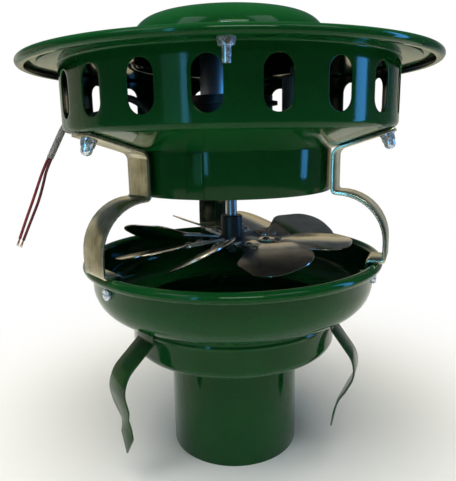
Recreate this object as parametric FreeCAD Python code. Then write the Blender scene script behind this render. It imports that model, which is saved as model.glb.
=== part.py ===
import FreeCAD
import Part
import math
import os

# Chimney draft inducer: a spigot, collar and bowl below, a motor drum with a hat above,
# three straps between them, a paddle fan that turns in the bowl and three spring legs.
# Millimetres, +Z up, origin at the centre of the spigot's bottom rim.
# An azimuth is counted in degrees from the front (-Y) towards the right (+X).

# Sheet metal and clearances
SHEET = 1.2
SLIP = 0.1
RUNNING = 0.05
BODY_GAP = 0.4
DRILL_REACH = 15.0

# Spigot
SPIGOT_R = 60.0
SPIGOT_LENGTH = 87.0
SPIGOT_FLANGE = 3.6
SPIGOT_BEND_R = 2.2

# Bowl and the collar under it
BOWL_R = 128.5
BOWL_DEPTH = 49.9
BOWL_BEND_R = 28.0
BOWL_LIP = 11.3
BOWL_OVERHANG = 33.3
RIM_ROLL_R = 4.6
COLLAR_HEIGHT = 50.3
COLLAR_SHOULDER = 16.5
COLLAR_BEND_R = 9.0
COLLAR_BEAD_R = 2.6
COLLAR_BEAD_OUT = 0.8
COLLAR_BEAD_DROP = 9.0

# Hat and its dome
HAT_R = 175.7
HAT_ROLL_R = 3.4
HAT_STEP_INSET = 12.7
HAT_STEP = 1.6
DOME_R = 84.0
DOME_HEIGHT = 39.1
DOME_SHOULDER = 36.0
DOME_CROWN_DROP = 5.5
DOME_CROWN_BEND_R = 250.0
DOME_SHOULDER_R = 20.0
DOME_FOOT_R = 5.0

# Neck and drum under the hat
OUTLET_HEIGHT = 58.8
NECK_R = 90.0
NECK_DROP = 35.0
NECK_RISE = 5.2
NECK_LEDGE = 12.0
SEAM_WIDTH = 14.0
SEAM_STEP = 1.0
SEAM_AZIMUTH = -18.0
HAT_OVERHANG = 31.7
DRUM_HEIGHT = 70.0
DRUM_CONE_ANGLE = 18.0
DRUM_BEND_R = 6.0
DRUM_LIP = 9.0
DRUM_FLANGE = 16.0

# Slots round the drum
SLOT_COUNT = 20
SLOT_WIDTH = 20.0
SLOT_LIFT = 9.5
SLOT_TOP_LAND = 7.5
SLOT_AZIMUTH = 12.0

# Baffle and motor plate in the neck
BAFFLE_LIFT = 3.0
BAFFLE_RIM = 10.0
BAFFLE_BORE_R = 8.0
PLATE_THICK = 2.0
PLATE_BORE_R = 8.0
PLATE_BOLT_INSET = 8.0
PLATE_BOLT_COUNT = 4

# Motor
MOTOR_R = 38.0
MOTOR_WALL = 2.0
MOTOR_FOOT = 8.0
MOTOR_FOOT_T = 3.0
MOTOR_BODY_H = 32.3
MOTOR_FLANGE = 4.5
MOTOR_FLANGE_T = 1.5
BELL_H = 6.5
CAN_INSET = 12.0
CAN_H = 38.0
CAN_BEND_R = 4.0
STATOR_H = 19.0
STATOR_DEPTH = 17.4
STATOR_SLOTS = 8
STATOR_SLOT_R = 3.6
STATOR_SLOT_DEPTH = 11.5
COIL_HEAD_H = 5.0
ROTOR_AIR_GAP = 0.6
BEARING_R = 13.0
BEARING_H = 8.0
BEARING_RACE = 2.2
BEARING_GROOVE = 0.8
UPPER_SEAT_LIFT = 3.0
MOTOR_SCREW_OUT = 4.0
MOTOR_SCREW_COUNT = 4
M4 = 4.0
M5 = 5.0
M6 = 6.0
M8 = 8.0

# Run capacitor
CAPACITOR_R = 11.0
CAPACITOR_H = 55.0
CAPACITOR_GAP = 0.5
CAPACITOR_EDGE_R = 1.5
TERMINAL_WIDTH = 6.3
TERMINAL_THICK = 0.8
TERMINAL_HEIGHT = 8.0
CLIP_LIFT = 14.0
CLIP_WIDTH = 8.0
CLIP_THICK = 1.0

# Shaft, hub and fan
SHAFT_R = 5.0
SHAFT_TAIL = 12.0
HUB_R = 10.0
HUB_HEIGHT = 22.0
HUB_CHAMFER = 1.0
HUB_SCREW_LIFT = 13.0
FAN_LIFT = 10.8
FAN_AZIMUTH = 26.0
FAN_CLEARANCE = 18.5
SPIDER_R = 21.0
SPIDER_THICK = 2.0
ARM_WIDTH = 15.0
ARM_LENGTH = 29.0
ARM_BEND_INSET = 2.0
BLADE_THICK = 1.2
BLADE_ROOT_GAP = 6.0
BLADE_ROOT_WIDTH = 17.0
BLADE_WIDTH = 56.0
BLADE_ROOT_CORNER_R = 4.0
BLADE_WAIST_R = 10.0
BLADE_SHOULDER_R = 14.0
BLADE_CORNER_R = 24.0
BLADE_SPREAD_SHARE = 0.42
BLADE_RIVET_R = 2.0
BLADE_RIVET_HEAD_R = 3.6
BLADE_RIVET_INSETS = (17.0, 6.0)
# The arms are twisted and bent by hand, so each blade has its own pitch and lift in degrees.
BLADE_PITCHES = (14.0, 3.0, 24.0, 22.0, 22.0, 26.0, 11.0, 26.0)
BLADE_LIFTS = (-4.0, 0.0, 0.0, 0.0, 0.0, 0.0, -5.0, 0.0)

# Straps
STRAP_AZIMUTH = {"left": -51.0, "right": 69.0, "back": 189.0}
STRAP_WIDTH = 32.0
STRAP_THICK = 3.0
STRAP_ARM_INSET = 2.5
STRAP_BOLT_INSET = 9.5
STRAP_NECK_GAP = 3.5
STRAP_FOLD_DROP = 1.0
STRAP_FOLD_BEND_R = 5.0
STRAP_RIM_GAP = 0.5
STRAP_FOOT_DROP = 22.2
STRAP_FOOT_BOLT_DROP = 15.7

# Hat bolts
HAT_BOLT_OUT = 7.0
HAT_BOLT_AZIMUTH = -1.0
HAT_BOLT_COUNT = 3
HAT_BOLT_LENGTH = 17.0

# Spring legs: distances out from the collar's wall and down from the bend under the tab
LEG_WIDTH = 26.0
LEG_THICK = 1.5
LEG_BEND_DROP = 13.8
LEG_KNEE_OUT = 34.3
LEG_KNEE_DROP = 26.9
LEG_KNEE_BEND_R = 25.0
LEG_ANKLE_OUT = 24.1
LEG_ANKLE_DROP = 71.5
LEG_ANKLE_BEND_R = 40.0
LEG_TIP_OUT = 25.8
LEG_TIP_DROP = 97.5
LEG_WAIST_WIDTH = 12.0
LEG_WAIST_RISE = 33.0
LEG_WAIST_TAPER = 12.0
LEG_POINT_WIDTH = 20.0
LEG_POINT_RISE = 17.0
LEG_LEAN_ANGLE = {"left": 0.0, "right": 14.0, "back": 7.0}
LEG_RIVET_SPREAD = 7.0
LEG_RIVET_DROP = 4.3
LEG_RIVET_R = 2.0
LEG_RIVET_HEAD_R = 3.8

# Grommet in the drum's wall
GROMMET_AZIMUTH = -105.0
GROMMET_LIFT = 6.0
GROMMET_R = 7.0
GROMMET_WAIST_R = 5.0
GROMMET_FLANGE = 2.0

# Free cord outside the drum: its run through the wall, then points counted from the wall, and
# two wires whose points are counted from the sheath's end
CORD_D = 6.5
CORD_INSET = 4.55
CORD_STUB = 9.2
CORD_DROP = [(-21.9, 4.7, -7.5), (-30.4, 5.7, -22.5), (-39.9, 6.2, -39.5)]
WIRE_D = 2.8
WIRE_STUB = 12.6
WIRE_A_DROP = [(-13.6, -0.1, -24.5), (-20.8, -0.5, -42.0), (-29.0, -1.5, -60.5), (-37.4, -2.5, -81.0)]
WIRE_B_DROP = [(-8.4, -0.5, -24.0), (-14.6, -1.3, -42.5), (-24.2, -2.5, -62.5), (-33.4, -3.5, -82.5)]
STRAND_D = 1.6
STRAND_LENGTH = 8.0

# Held lead inside the drum: its run through the wall, then points as a share of the way from the
# motor's wall to the drum's, a distance back from the motor's middle and a height above the grommet
LEAD_INSET = 4.65
LEAD_STUB = 16.0
LEAD_SAG = [(0.689, 25.0, 9.5), (0.547, 13.5, 16.0), (0.401, 4.5, 9.5), (0.274, 0.8, -5.5),
            (0.146, 0.0, -14.0)]
LEAD_END_DROP = 15.0

ORIGIN = FreeCAD.Vector(0, 0, 0)
UP = FreeCAD.Vector(0, 0, 1)
DOWN = FreeCAD.Vector(0, 0, -1)

# Sizes and levels worked out from the sizes above
SLOPE = math.radians(DRUM_CONE_ANGLE)
COLLAR_R = BOWL_R - BOWL_OVERHANG
COLLAR_TOP_Z = SPIGOT_LENGTH + COLLAR_HEIGHT
BOWL_FLOOR_Z = COLLAR_TOP_Z + SHEET
RIM_TOP_Z = COLLAR_TOP_Z + BOWL_DEPTH
DRUM_R = HAT_R - HAT_OVERHANG
DRUM_FLANGE_R = DRUM_R + DRUM_FLANGE
NECK_BOTTOM_Z = RIM_TOP_Z + OUTLET_HEIGHT
DRUM_FLOOR_Z = NECK_BOTTOM_Z + NECK_DROP
DRUM_CORNER_Z = DRUM_FLOOR_Z + (DRUM_R - NECK_R - SLIP) * math.tan(SLOPE)
DRUM_TOP_Z = DRUM_FLOOR_Z + DRUM_HEIGHT
SLOT_FLOOR_Z = DRUM_CORNER_Z + SLOT_LIFT
SLOT_HEIGHT = DRUM_TOP_Z - SLOT_TOP_LAND - SLOT_FLOOR_Z
NECK_TOP_Z = DRUM_FLOOR_Z + NECK_RISE
PLATE_TOP_Z = NECK_TOP_Z + PLATE_THICK
BRIM_TOP_Z = DRUM_TOP_Z + 2 * SHEET
HAT_EDGE_Z = BRIM_TOP_Z + HAT_STEP
HAT_STEP_R = HAT_R - HAT_STEP_INSET
DOME_TOP_Z = BRIM_TOP_Z + DOME_HEIGHT
MOTOR_FOOT_R = MOTOR_R + MOTOR_FOOT
MOTOR_FLANGE_R = MOTOR_R + MOTOR_FLANGE
MOTOR_FLANGE_Z = PLATE_TOP_Z + MOTOR_BODY_H
STATOR_BORE_R = MOTOR_R - STATOR_DEPTH
STATOR_SLOT_CIRCLE_R = MOTOR_R - STATOR_SLOT_DEPTH
BELL_TOP_Z = MOTOR_FLANGE_Z + BELL_H
CAN_R = MOTOR_R - CAN_INSET
CAN_TOP_Z = BELL_TOP_Z + CAN_H
SHAFT_TOP_Z = CAN_TOP_Z - UPPER_SEAT_LIFT
CAPACITOR_X = MOTOR_FOOT_R + CAPACITOR_GAP + CAPACITOR_R
FAN_Z = RIM_TOP_Z + FAN_LIFT
FAN_R = BOWL_R - FAN_CLEARANCE
FAN_BLADES = len(BLADE_PITCHES)
ARM_R = SPIDER_R + ARM_LENGTH
ARM_BEND_R = SPIDER_R - ARM_BEND_INSET
BLADE_ROOT_R = SPIDER_R + BLADE_ROOT_GAP
STRAP_BOLT_R = DRUM_R - STRAP_BOLT_INSET
STRAP_FOOT_BOLT_Z = RIM_TOP_Z - STRAP_FOOT_BOLT_DROP
LEG_BEND_Z = COLLAR_TOP_Z - LEG_BEND_DROP
LEG_RIVET_Z = COLLAR_TOP_Z - LEG_RIVET_DROP
GROMMET_Z = SLOT_FLOOR_Z + GROMMET_LIFT


def vector(point):
    """A vector from a point in the plane of radius and height."""
    return FreeCAD.Vector(point[0], 0, point[1])


def direction(start, end):
    """The unit step from one plane point to the next."""
    length = math.hypot(end[0] - start[0], end[1] - start[1])
    return (end[0] - start[0]) / length, (end[1] - start[1]) / length


def turn_at(before, after):
    """The signed turn in radians between two unit steps, positive to the left."""
    cross = before[0] * after[1] - before[1] * after[0]
    return math.atan2(cross, before[0] * after[0] + before[1] * after[1])


def shifted(corners, left):
    """The corners of an open path moved to its left by a distance, with mitred bends."""
    moved = []
    last = len(corners) - 1
    for index, (radius, height) in enumerate(corners):
        before = direction(corners[max(index, 1) - 1], corners[max(index, 1)])
        after = direction(corners[min(index, last - 1)], corners[min(index, last - 1) + 1])
        across = (-before[1] - after[1], before[0] + after[0])
        scale = 2.0 * left / (across[0] ** 2 + across[1] ** 2)
        moved.append((radius + across[0] * scale, height + across[1] * scale))
    return moved


def edges_along(corners, radii):
    """Straight edges through the corners, each inner corner rounded to its radius."""
    edges = []
    start = corners[0]
    for index in range(1, len(corners) - 1):
        corner = corners[index]
        before = direction(corners[index - 1], corner)
        after = direction(corner, corners[index + 1])
        half = abs(turn_at(before, after)) / 2.0
        radius = radii[index - 1]
        tangent = radius * math.tan(half)
        arc_start = (corner[0] - before[0] * tangent, corner[1] - before[1] * tangent)
        arc_end = (corner[0] + after[0] * tangent, corner[1] + after[1] * tangent)
        if math.dist(start, arc_start) > 1e-6:
            edges.append(Part.LineSegment(vector(start), vector(arc_start)).toShape())
        if tangent > 1e-6:
            inward = direction(before, after)
            sagitta = radius / math.cos(half) - radius
            middle = (corner[0] + inward[0] * sagitta, corner[1] + inward[1] * sagitta)
            edges.append(Part.Arc(vector(arc_start), vector(middle), vector(arc_end)).toShape())
        start = arc_end
    edges.append(Part.LineSegment(vector(start), vector(corners[-1])).toShape())
    return edges


def sheet_face(corners, radii, left):
    """The section of bent sheet whose one face follows the corners; it lies to their left by its
    thickness, or to their right where the thickness is negative."""
    far = shifted(corners, left)
    far_radii = []
    for index, radius in enumerate(radii):
        before = direction(corners[index], corners[index + 1])
        after = direction(corners[index + 1], corners[index + 2])
        bend = math.copysign(left, turn_at(before, after) * left)
        far_radii.append(max(radius - bend, 0.0))
    edges = edges_along(corners, radii)
    edges += edges_along(far, far_radii)
    edges.append(Part.LineSegment(vector(corners[0]), vector(far[0])).toShape())
    edges.append(Part.LineSegment(vector(corners[-1]), vector(far[-1])).toShape())
    return Part.Face(Part.Wire(Part.__sortEdges__(edges)))


def revolved(corners, radii, left):
    """A round sheet-metal piece spun from the section of its sheet."""
    return sheet_face(corners, radii, left).revolve(ORIGIN, UP, 360)


def turned_profile(points):
    """A solid of revolution from a closed outline of (radius, height) points."""
    loop = [vector(point) for point in points]
    return Part.Face(Part.makePolygon(loop + loop[:1])).revolve(ORIGIN, UP, 360)


def at_azimuth(shape, azimuth):
    """A shape drawn along +X, swung round the axis to an azimuth."""
    copy = shape.copy()
    copy.rotate(ORIGIN, UP, azimuth - 90.0)
    return copy


def placed(shape, point, axis):
    """A shape drawn on +Z at the origin, moved to a point and turned to an axis."""
    copy = shape.copy()
    copy.Placement = FreeCAD.Placement(point, FreeCAD.Rotation(UP, axis)).multiply(copy.Placement)
    return copy


def around(shape, count, first):
    """Copies of a shape drawn along +X, evenly spaced round the axis."""
    return [at_azimuth(shape, first + index * 360.0 / count) for index in range(count)]


def disc(radius, height, z):
    """A cylinder on the axis."""
    return Part.makeCylinder(radius, height, FreeCAD.Vector(0, 0, z))


def ring(outer, inner, height, z):
    """A plain ring on the axis."""
    return disc(outer, height, z).cut(disc(inner, height, z))


def hexagon(across_flats, height):
    """A hexagonal prism on +Z with its base at the origin."""
    corner = across_flats / math.sqrt(3.0)
    steps = [math.radians(60 * index) for index in range(7)]
    points = [FreeCAD.Vector(corner * math.cos(step), corner * math.sin(step), 0) for step in steps]
    return Part.Face(Part.makePolygon(points)).extrude(FreeCAD.Vector(0, 0, height))


def nut(thread):
    """A hexagon nut with its lower face at the origin, its height 0.8 of the thread."""
    blank = hexagon(1.7 * thread, 0.8 * thread)
    cone = Part.makeCone(1.02 * thread, 0.86 * thread, 0.8 * thread)
    return blank.common(cone).cut(disc(thread / 2.0 + RUNNING, thread, -0.1))


def washer(thread):
    """A flat washer with its lower face at the origin."""
    return ring(thread, thread / 2.0 + 2 * RUNNING, washer_height(thread), 0)


def washer_height(thread):
    """The thickness of a washer for a thread."""
    return 0.2 * thread


def pan_screw(thread, length):
    """A pan-head screw: its shank runs down from the origin and its head stands on it."""
    head = disc(0.9 * thread, 0.55 * thread, 0)
    head = head.makeFillet(0.3 * thread, [head.Edges[0]])
    drive = Part.makeBox(0.18 * thread, 2 * thread, thread,
                         FreeCAD.Vector(-0.09 * thread, -thread, 0.33 * thread))
    return disc(thread / 2.0, length, -length).fuse(head).cut(drive).removeSplitter()


def hex_bolt(thread, length):
    """A hexagon-head bolt: its shank runs down from the origin and its head stands on it."""
    head = hexagon(1.7 * thread, 0.65 * thread)
    head = head.common(Part.makeCone(1.1 * thread, 0.9 * thread, 0.65 * thread))
    return disc(thread / 2.0, length, -length).fuse(head).removeSplitter()


def joined(solids):
    """Separate solids of one kind in one group."""
    return Part.makeCompound(solids)


def drilled(shape, holes):
    """A piece with its holes cut."""
    return shape.cut(joined(holes)) if holes else shape


# Round shells

def spigot():
    """The tube that slips into the flue, with a flange under the collar's floor."""
    lip_z = SPIGOT_LENGTH + SHEET
    corners = [(SPIGOT_R - SHEET, 0), (SPIGOT_R - SHEET, lip_z), (SPIGOT_R + SPIGOT_FLANGE, lip_z)]
    return revolved(corners, [SPIGOT_BEND_R], -SHEET)


def collar():
    """The ring cup between the spigot and the bowl, with two outward beads."""
    shoulder_z = SPIGOT_LENGTH + COLLAR_SHOULDER
    land_r = SPIGOT_R + SPIGOT_FLANGE + SHEET
    hole_r = SPIGOT_R - SHEET + SPIGOT_BEND_R
    floor_z = SPIGOT_LENGTH + SHEET + SLIP
    corners = [(hole_r, floor_z), (land_r, floor_z), (COLLAR_R, shoulder_z), (COLLAR_R, COLLAR_TOP_Z)]
    wall = revolved(corners, [2.0, COLLAR_BEND_R], SHEET)
    bead_r = COLLAR_R + COLLAR_BEAD_OUT - COLLAR_BEAD_R
    for bead_z in (COLLAR_TOP_Z - COLLAR_BEAD_DROP, COLLAR_TOP_Z - COLLAR_BEAD_OUT):
        half = math.sqrt(COLLAR_BEAD_R ** 2 - (COLLAR_R - SHEET / 2 - bead_r) ** 2)
        top = min(bead_z + half, COLLAR_TOP_Z)
        bead = Part.makeTorus(bead_r, COLLAR_BEAD_R, FreeCAD.Vector(0, 0, bead_z))
        band = ring(COLLAR_R + 2 * COLLAR_BEAD_OUT, COLLAR_R - SHEET / 2, top - bead_z + half, bead_z - half)
        wall = wall.fuse(bead.common(band))
    return drilled(wall.removeSplitter(), leg_rivet_holes())


def bowl():
    """The open bowl: a lip inside the collar, a flat floor, a round wall and a rolled rim."""
    lip_r = COLLAR_R - SHEET - 2 * SLIP - SHEET
    wall_r = BOWL_R - SHEET
    roll_r = wall_r + 2 * RIM_ROLL_R
    roll_z = RIM_TOP_Z - 2 * RIM_ROLL_R
    corners = [(lip_r, COLLAR_TOP_Z - BOWL_LIP), (lip_r, BOWL_FLOOR_Z), (wall_r, BOWL_FLOOR_Z),
               (wall_r, RIM_TOP_Z), (roll_r, RIM_TOP_Z), (roll_r, roll_z),
               (roll_r - 1.3 * RIM_ROLL_R, roll_z)]
    radii = [SHEET, BOWL_BEND_R - SHEET, RIM_ROLL_R, RIM_ROLL_R, RIM_ROLL_R]
    shell = revolved(corners, radii, -SHEET)
    return drilled(shell, leg_rivet_holes() + strap_foot_holes())


def neck_tube():
    """The heat shield tube under the drum, with an inward ledge that carries the motor plate and
    a lap seam down its outside."""
    corners = [(NECK_R, NECK_BOTTOM_Z), (NECK_R, NECK_TOP_Z), (NECK_R - NECK_LEDGE, NECK_TOP_Z)]
    tube = revolved(corners, [2.0 * SHEET], SHEET)
    return drilled(tube.fuse(neck_lap()).removeSplitter(), plate_bolt_holes())


def neck_lap():
    """The upper layer of the neck's lap seam, from its lower edge to just below the drum."""
    half = math.degrees(SEAM_WIDTH / 2 / NECK_R)
    low, high = NECK_BOTTOM_Z, DRUM_FLOOR_Z - 4 * SLIP
    inner, outer = NECK_R - SHEET / 2, NECK_R + SEAM_STEP
    outline = [(inner, low), (outer, low), (outer, high), (inner, high), (inner, low)]
    strip = Part.Face(Part.makePolygon([vector(point) for point in outline])).revolve(ORIGIN, UP, 2 * half)
    return at_azimuth(strip, SEAM_AZIMUTH - half)


def neck_baffle():
    """The disc that closes the neck round the shaft, with an upturned rim."""
    z = NECK_BOTTOM_Z + BAFFLE_LIFT
    rim_r = NECK_R - SHEET - SLIP
    return revolved([(BAFFLE_BORE_R, z), (rim_r, z), (rim_r, z + BAFFLE_RIM)], [3.0 * SHEET], SHEET)


def drum_casing():
    """The slotted motor drum: a lip on the neck, a conical floor, a wall and a top flange."""
    lip_r = NECK_R + SLIP
    corners = [(lip_r, DRUM_FLOOR_Z + DRUM_LIP), (lip_r, DRUM_FLOOR_Z), (DRUM_R, DRUM_CORNER_Z),
               (DRUM_R, DRUM_TOP_Z), (DRUM_FLANGE_R, DRUM_TOP_Z)]
    shell = revolved(corners, [2.0 * SHEET, DRUM_BEND_R, SHEET], SHEET)
    slots = around(slot_cutter(), SLOT_COUNT, SLOT_AZIMUTH)
    grommet_hole = wall_drill(GROMMET_WAIST_R + SLIP, DRUM_R, GROMMET_Z)
    grommet_hole = at_azimuth(grommet_hole, GROMMET_AZIMUTH)
    return drilled(shell, slots + [grommet_hole] + hat_bolt_holes() + strap_arm_holes())


def cone_z(radius):
    """The height of the drum's conical underside at a radius."""
    return DRUM_FLOOR_Z + (radius - NECK_R - SLIP) * math.tan(SLOPE)


def radial_cylinder(radius, start, length, z):
    """A cylinder along +X at a height."""
    return Part.makeCylinder(radius, length, FreeCAD.Vector(start, 0, z), FreeCAD.Vector(1, 0, 0))


def wall_drill(radius, wall_r, z):
    """A drill along +X through a round wall."""
    return radial_cylinder(radius, wall_r - DRILL_REACH, 2 * DRILL_REACH, z)


def slot_cutter():
    """A round-ended vertical slot, as a prism along +X through the drum's wall."""
    start, depth = DRUM_R - DRILL_REACH / 2, DRILL_REACH
    low = SLOT_FLOOR_Z + SLOT_WIDTH / 2
    straight = SLOT_HEIGHT - SLOT_WIDTH
    middle = Part.makeBox(depth, SLOT_WIDTH, straight, FreeCAD.Vector(start, -SLOT_WIDTH / 2, low))
    ends = [radial_cylinder(SLOT_WIDTH / 2, start, depth, z) for z in (low, low + straight)]
    return middle.fuse(ends).removeSplitter()


def hat():
    """The rain hat: a domed middle, a flat brim on the drum's flange and a rolled edge."""
    crown_z = DOME_TOP_Z - DOME_CROWN_DROP
    roll_z = HAT_EDGE_Z - 2 * HAT_ROLL_R
    corners = [(0, DOME_TOP_Z), (DOME_R - DOME_SHOULDER, DOME_TOP_Z), (DOME_R, crown_z), (DOME_R, BRIM_TOP_Z),
               (HAT_STEP_R, BRIM_TOP_Z), (HAT_STEP_R + 4 * HAT_STEP, HAT_EDGE_Z), (HAT_R, HAT_EDGE_Z),
               (HAT_R, roll_z), (HAT_R - 1.9 * HAT_ROLL_R, roll_z)]
    radii = [DOME_CROWN_BEND_R, DOME_SHOULDER_R, DOME_FOOT_R, 6.0, 6.0, HAT_ROLL_R, HAT_ROLL_R]
    shell = revolved(corners, radii, -SHEET)
    return drilled(shell, hat_bolt_holes())


# Hat bolts

def circle_points(radius, count, first, z):
    """Points at a height, evenly spaced round the axis from a first azimuth."""
    steps = [math.radians(first + index * 360.0 / count) for index in range(count)]
    return [FreeCAD.Vector(radius * math.sin(step), -radius * math.cos(step), z) for step in steps]


def upright_drills(radius, points):
    """Drills up and down from each point."""
    return [Part.makeCylinder(radius, 2 * DRILL_REACH, point + DOWN * DRILL_REACH) for point in points]


def hat_bolt_points(z):
    """The places of the hat bolts at a height."""
    return circle_points(DRUM_R + HAT_BOLT_OUT, HAT_BOLT_COUNT, HAT_BOLT_AZIMUTH, z)


def hat_bolt_holes():
    """Clearance holes for the hat bolts through the brim and the flange."""
    return upright_drills(M6 / 2 + 2 * SLIP, hat_bolt_points(DRUM_TOP_Z))


def hat_washers():
    """Washers on the brim."""
    return joined([placed(washer(M6), point, UP) for point in hat_bolt_points(BRIM_TOP_Z)])


def hat_bolts():
    """Bolts down through the brim and the drum's flange."""
    z = BRIM_TOP_Z + washer_height(M6)
    return joined([placed(hex_bolt(M6, HAT_BOLT_LENGTH + washer_height(M6)), point, UP)
                   for point in hat_bolt_points(z)])


def hat_nuts():
    """Nuts under the drum's flange."""
    return joined([placed(nut(M6), point, DOWN) for point in hat_bolt_points(DRUM_TOP_Z)])


# Motor plate, motor and capacitor

def plate_bolt_points(z):
    """The places of the motor plate's bolts."""
    return circle_points(NECK_R - PLATE_BOLT_INSET, PLATE_BOLT_COUNT, 45.0, z)


def plate_bolt_holes():
    """Holes through the neck's ledge and the motor plate."""
    return upright_drills(M5 / 2 + 2 * SLIP, plate_bolt_points(NECK_TOP_Z))


def motor_screw_points(z):
    """The places of the screws in the motor's foot."""
    return circle_points(MOTOR_R + MOTOR_SCREW_OUT, MOTOR_SCREW_COUNT, 45.0, z)


def motor_screw_holes():
    """Holes through the motor's foot and the plate."""
    return upright_drills(M4 / 2 + SLIP, motor_screw_points(PLATE_TOP_Z))


def clip_screw_point(z):
    """The place of the screw that holds the capacitor's clip."""
    return FreeCAD.Vector(CAPACITOR_X, CAPACITOR_R + CLIP_THICK + M4, z)


def motor_plate():
    """The disc on the neck's ledge that carries the motor and the capacitor."""
    plate = ring(NECK_R - SLIP, PLATE_BORE_R, PLATE_THICK, NECK_TOP_Z)
    clip_hole = upright_drills(M4 / 2 + SLIP, [clip_screw_point(PLATE_TOP_Z)])
    return drilled(plate, plate_bolt_holes() + motor_screw_holes() + clip_hole)


def plate_bolts():
    """Screws down through the motor plate and the neck's ledge."""
    screw = pan_screw(M5, PLATE_THICK + SHEET + 1.2 * M5)
    return joined([placed(screw, point, UP) for point in plate_bolt_points(PLATE_TOP_Z)])


def plate_nuts():
    """Nuts under the neck's ledge."""
    return joined([placed(nut(M5), point, DOWN) for point in plate_bolt_points(NECK_TOP_Z - SHEET)])


def motor_body():
    """The motor's lower housing: a foot, a wall, a bearing seat and a flange."""
    z = PLATE_TOP_Z
    floor_z = z + MOTOR_FOOT_T
    bore_r = BEARING_R + RUNNING
    inner_r = MOTOR_R - MOTOR_WALL
    seat_z = z + MOTOR_WALL
    points = [(PLATE_BORE_R, z), (MOTOR_FOOT_R, z), (MOTOR_FOOT_R, floor_z), (MOTOR_R, floor_z),
              (MOTOR_R, MOTOR_FLANGE_Z - MOTOR_FLANGE_T), (MOTOR_FLANGE_R, MOTOR_FLANGE_Z - MOTOR_FLANGE_T),
              (MOTOR_FLANGE_R, MOTOR_FLANGE_Z), (inner_r, MOTOR_FLANGE_Z), (inner_r, floor_z + MOTOR_WALL),
              (bore_r + MOTOR_WALL, floor_z + MOTOR_WALL), (bore_r + MOTOR_WALL, seat_z + BEARING_H),
              (bore_r, seat_z + BEARING_H), (bore_r, seat_z), (PLATE_BORE_R, seat_z)]
    return drilled(turned_profile(points), motor_screw_holes())


def motor_bell():
    """The motor's upper bell on the housing's flange."""
    inner_r = MOTOR_R - MOTOR_WALL
    points = [(inner_r, MOTOR_FLANGE_Z), (MOTOR_FLANGE_R, MOTOR_FLANGE_Z),
              (MOTOR_FLANGE_R, MOTOR_FLANGE_Z + MOTOR_FLANGE_T), (MOTOR_R, MOTOR_FLANGE_Z + MOTOR_FLANGE_T),
              (MOTOR_R, BELL_TOP_Z), (CAN_R - 2 * MOTOR_WALL, BELL_TOP_Z),
              (CAN_R - 2 * MOTOR_WALL, BELL_TOP_Z - MOTOR_WALL), (inner_r, BELL_TOP_Z - MOTOR_WALL)]
    return turned_profile(points)


def motor_can():
    """The bright can over the upper bearing."""
    can = revolved([(CAN_R, BELL_TOP_Z), (CAN_R, CAN_TOP_Z), (SHAFT_R, CAN_TOP_Z)], [CAN_BEND_R], SHEET)
    bore_r = BEARING_R + RUNNING
    seat_h = BEARING_H + UPPER_SEAT_LIFT
    seat = ring(bore_r + MOTOR_WALL, bore_r, seat_h, CAN_TOP_Z - SHEET - seat_h)
    return can.fuse(seat).removeSplitter()


def bearing(z):
    """A ball bearing as one ring, with a groove between its two races on each face."""
    inner, outer = SHAFT_R + RUNNING, BEARING_R
    race, groove = BEARING_RACE, BEARING_GROOVE
    points = [(inner, z), (inner + race, z), (inner + race, z + groove), (outer - race, z + groove),
              (outer - race, z), (outer, z), (outer, z + BEARING_H), (outer - race, z + BEARING_H),
              (outer - race, z + BEARING_H - groove), (inner + race, z + BEARING_H - groove),
              (inner + race, z + BEARING_H), (inner, z + BEARING_H)]
    return turned_profile(points)


def lower_bearing():
    """The bearing in the motor's lower housing."""
    return bearing(PLATE_TOP_Z + MOTOR_WALL)


def upper_bearing():
    """The bearing in the top of the can."""
    return bearing(CAN_TOP_Z - SHEET - UPPER_SEAT_LIFT - BEARING_H)


def stator_base_z():
    """The height of the stator's lower face."""
    return MOTOR_FLANGE_Z - MOTOR_FLANGE_T - STATOR_H


def stator_bars(radius):
    """Upright bars round the stator, one in each winding slot."""
    z = stator_base_z() - COIL_HEAD_H / 2
    bar = Part.makeCylinder(radius, STATOR_H + COIL_HEAD_H, FreeCAD.Vector(STATOR_SLOT_CIRCLE_R, 0, z))
    return around(bar, STATOR_SLOTS, 90.0)


def stator_core():
    """The laminated ring held in the housing, with a round slot for each winding."""
    core = ring(MOTOR_R - MOTOR_WALL - RUNNING, STATOR_BORE_R, STATOR_H, stator_base_z())
    return drilled(core, stator_bars(STATOR_SLOT_R + RUNNING))


def stator_coils():
    """The windings: a head above and below the core, joined through its slots."""
    outer = STATOR_SLOT_CIRCLE_R + STATOR_SLOT_R
    inner = STATOR_SLOT_CIRCLE_R - STATOR_SLOT_R
    base = stator_base_z()
    low = ring(outer, inner, COIL_HEAD_H, base - COIL_HEAD_H - SLIP)
    high = ring(outer, inner, COIL_HEAD_H, base + STATOR_H + SLIP)
    return low.fuse([high] + stator_bars(STATOR_SLOT_R)).removeSplitter()


def motor_screws():
    """Screws down into the plate through the motor's foot and the capacitor clip's foot."""
    foot = pan_screw(M4, MOTOR_FOOT_T + PLATE_THICK)
    clip = pan_screw(M4, CLIP_THICK + PLATE_THICK)
    solids = [placed(foot, point, UP) for point in motor_screw_points(PLATE_TOP_Z + MOTOR_FOOT_T)]
    return joined(solids + [placed(clip, clip_screw_point(PLATE_TOP_Z + CLIP_THICK), UP)])


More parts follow.
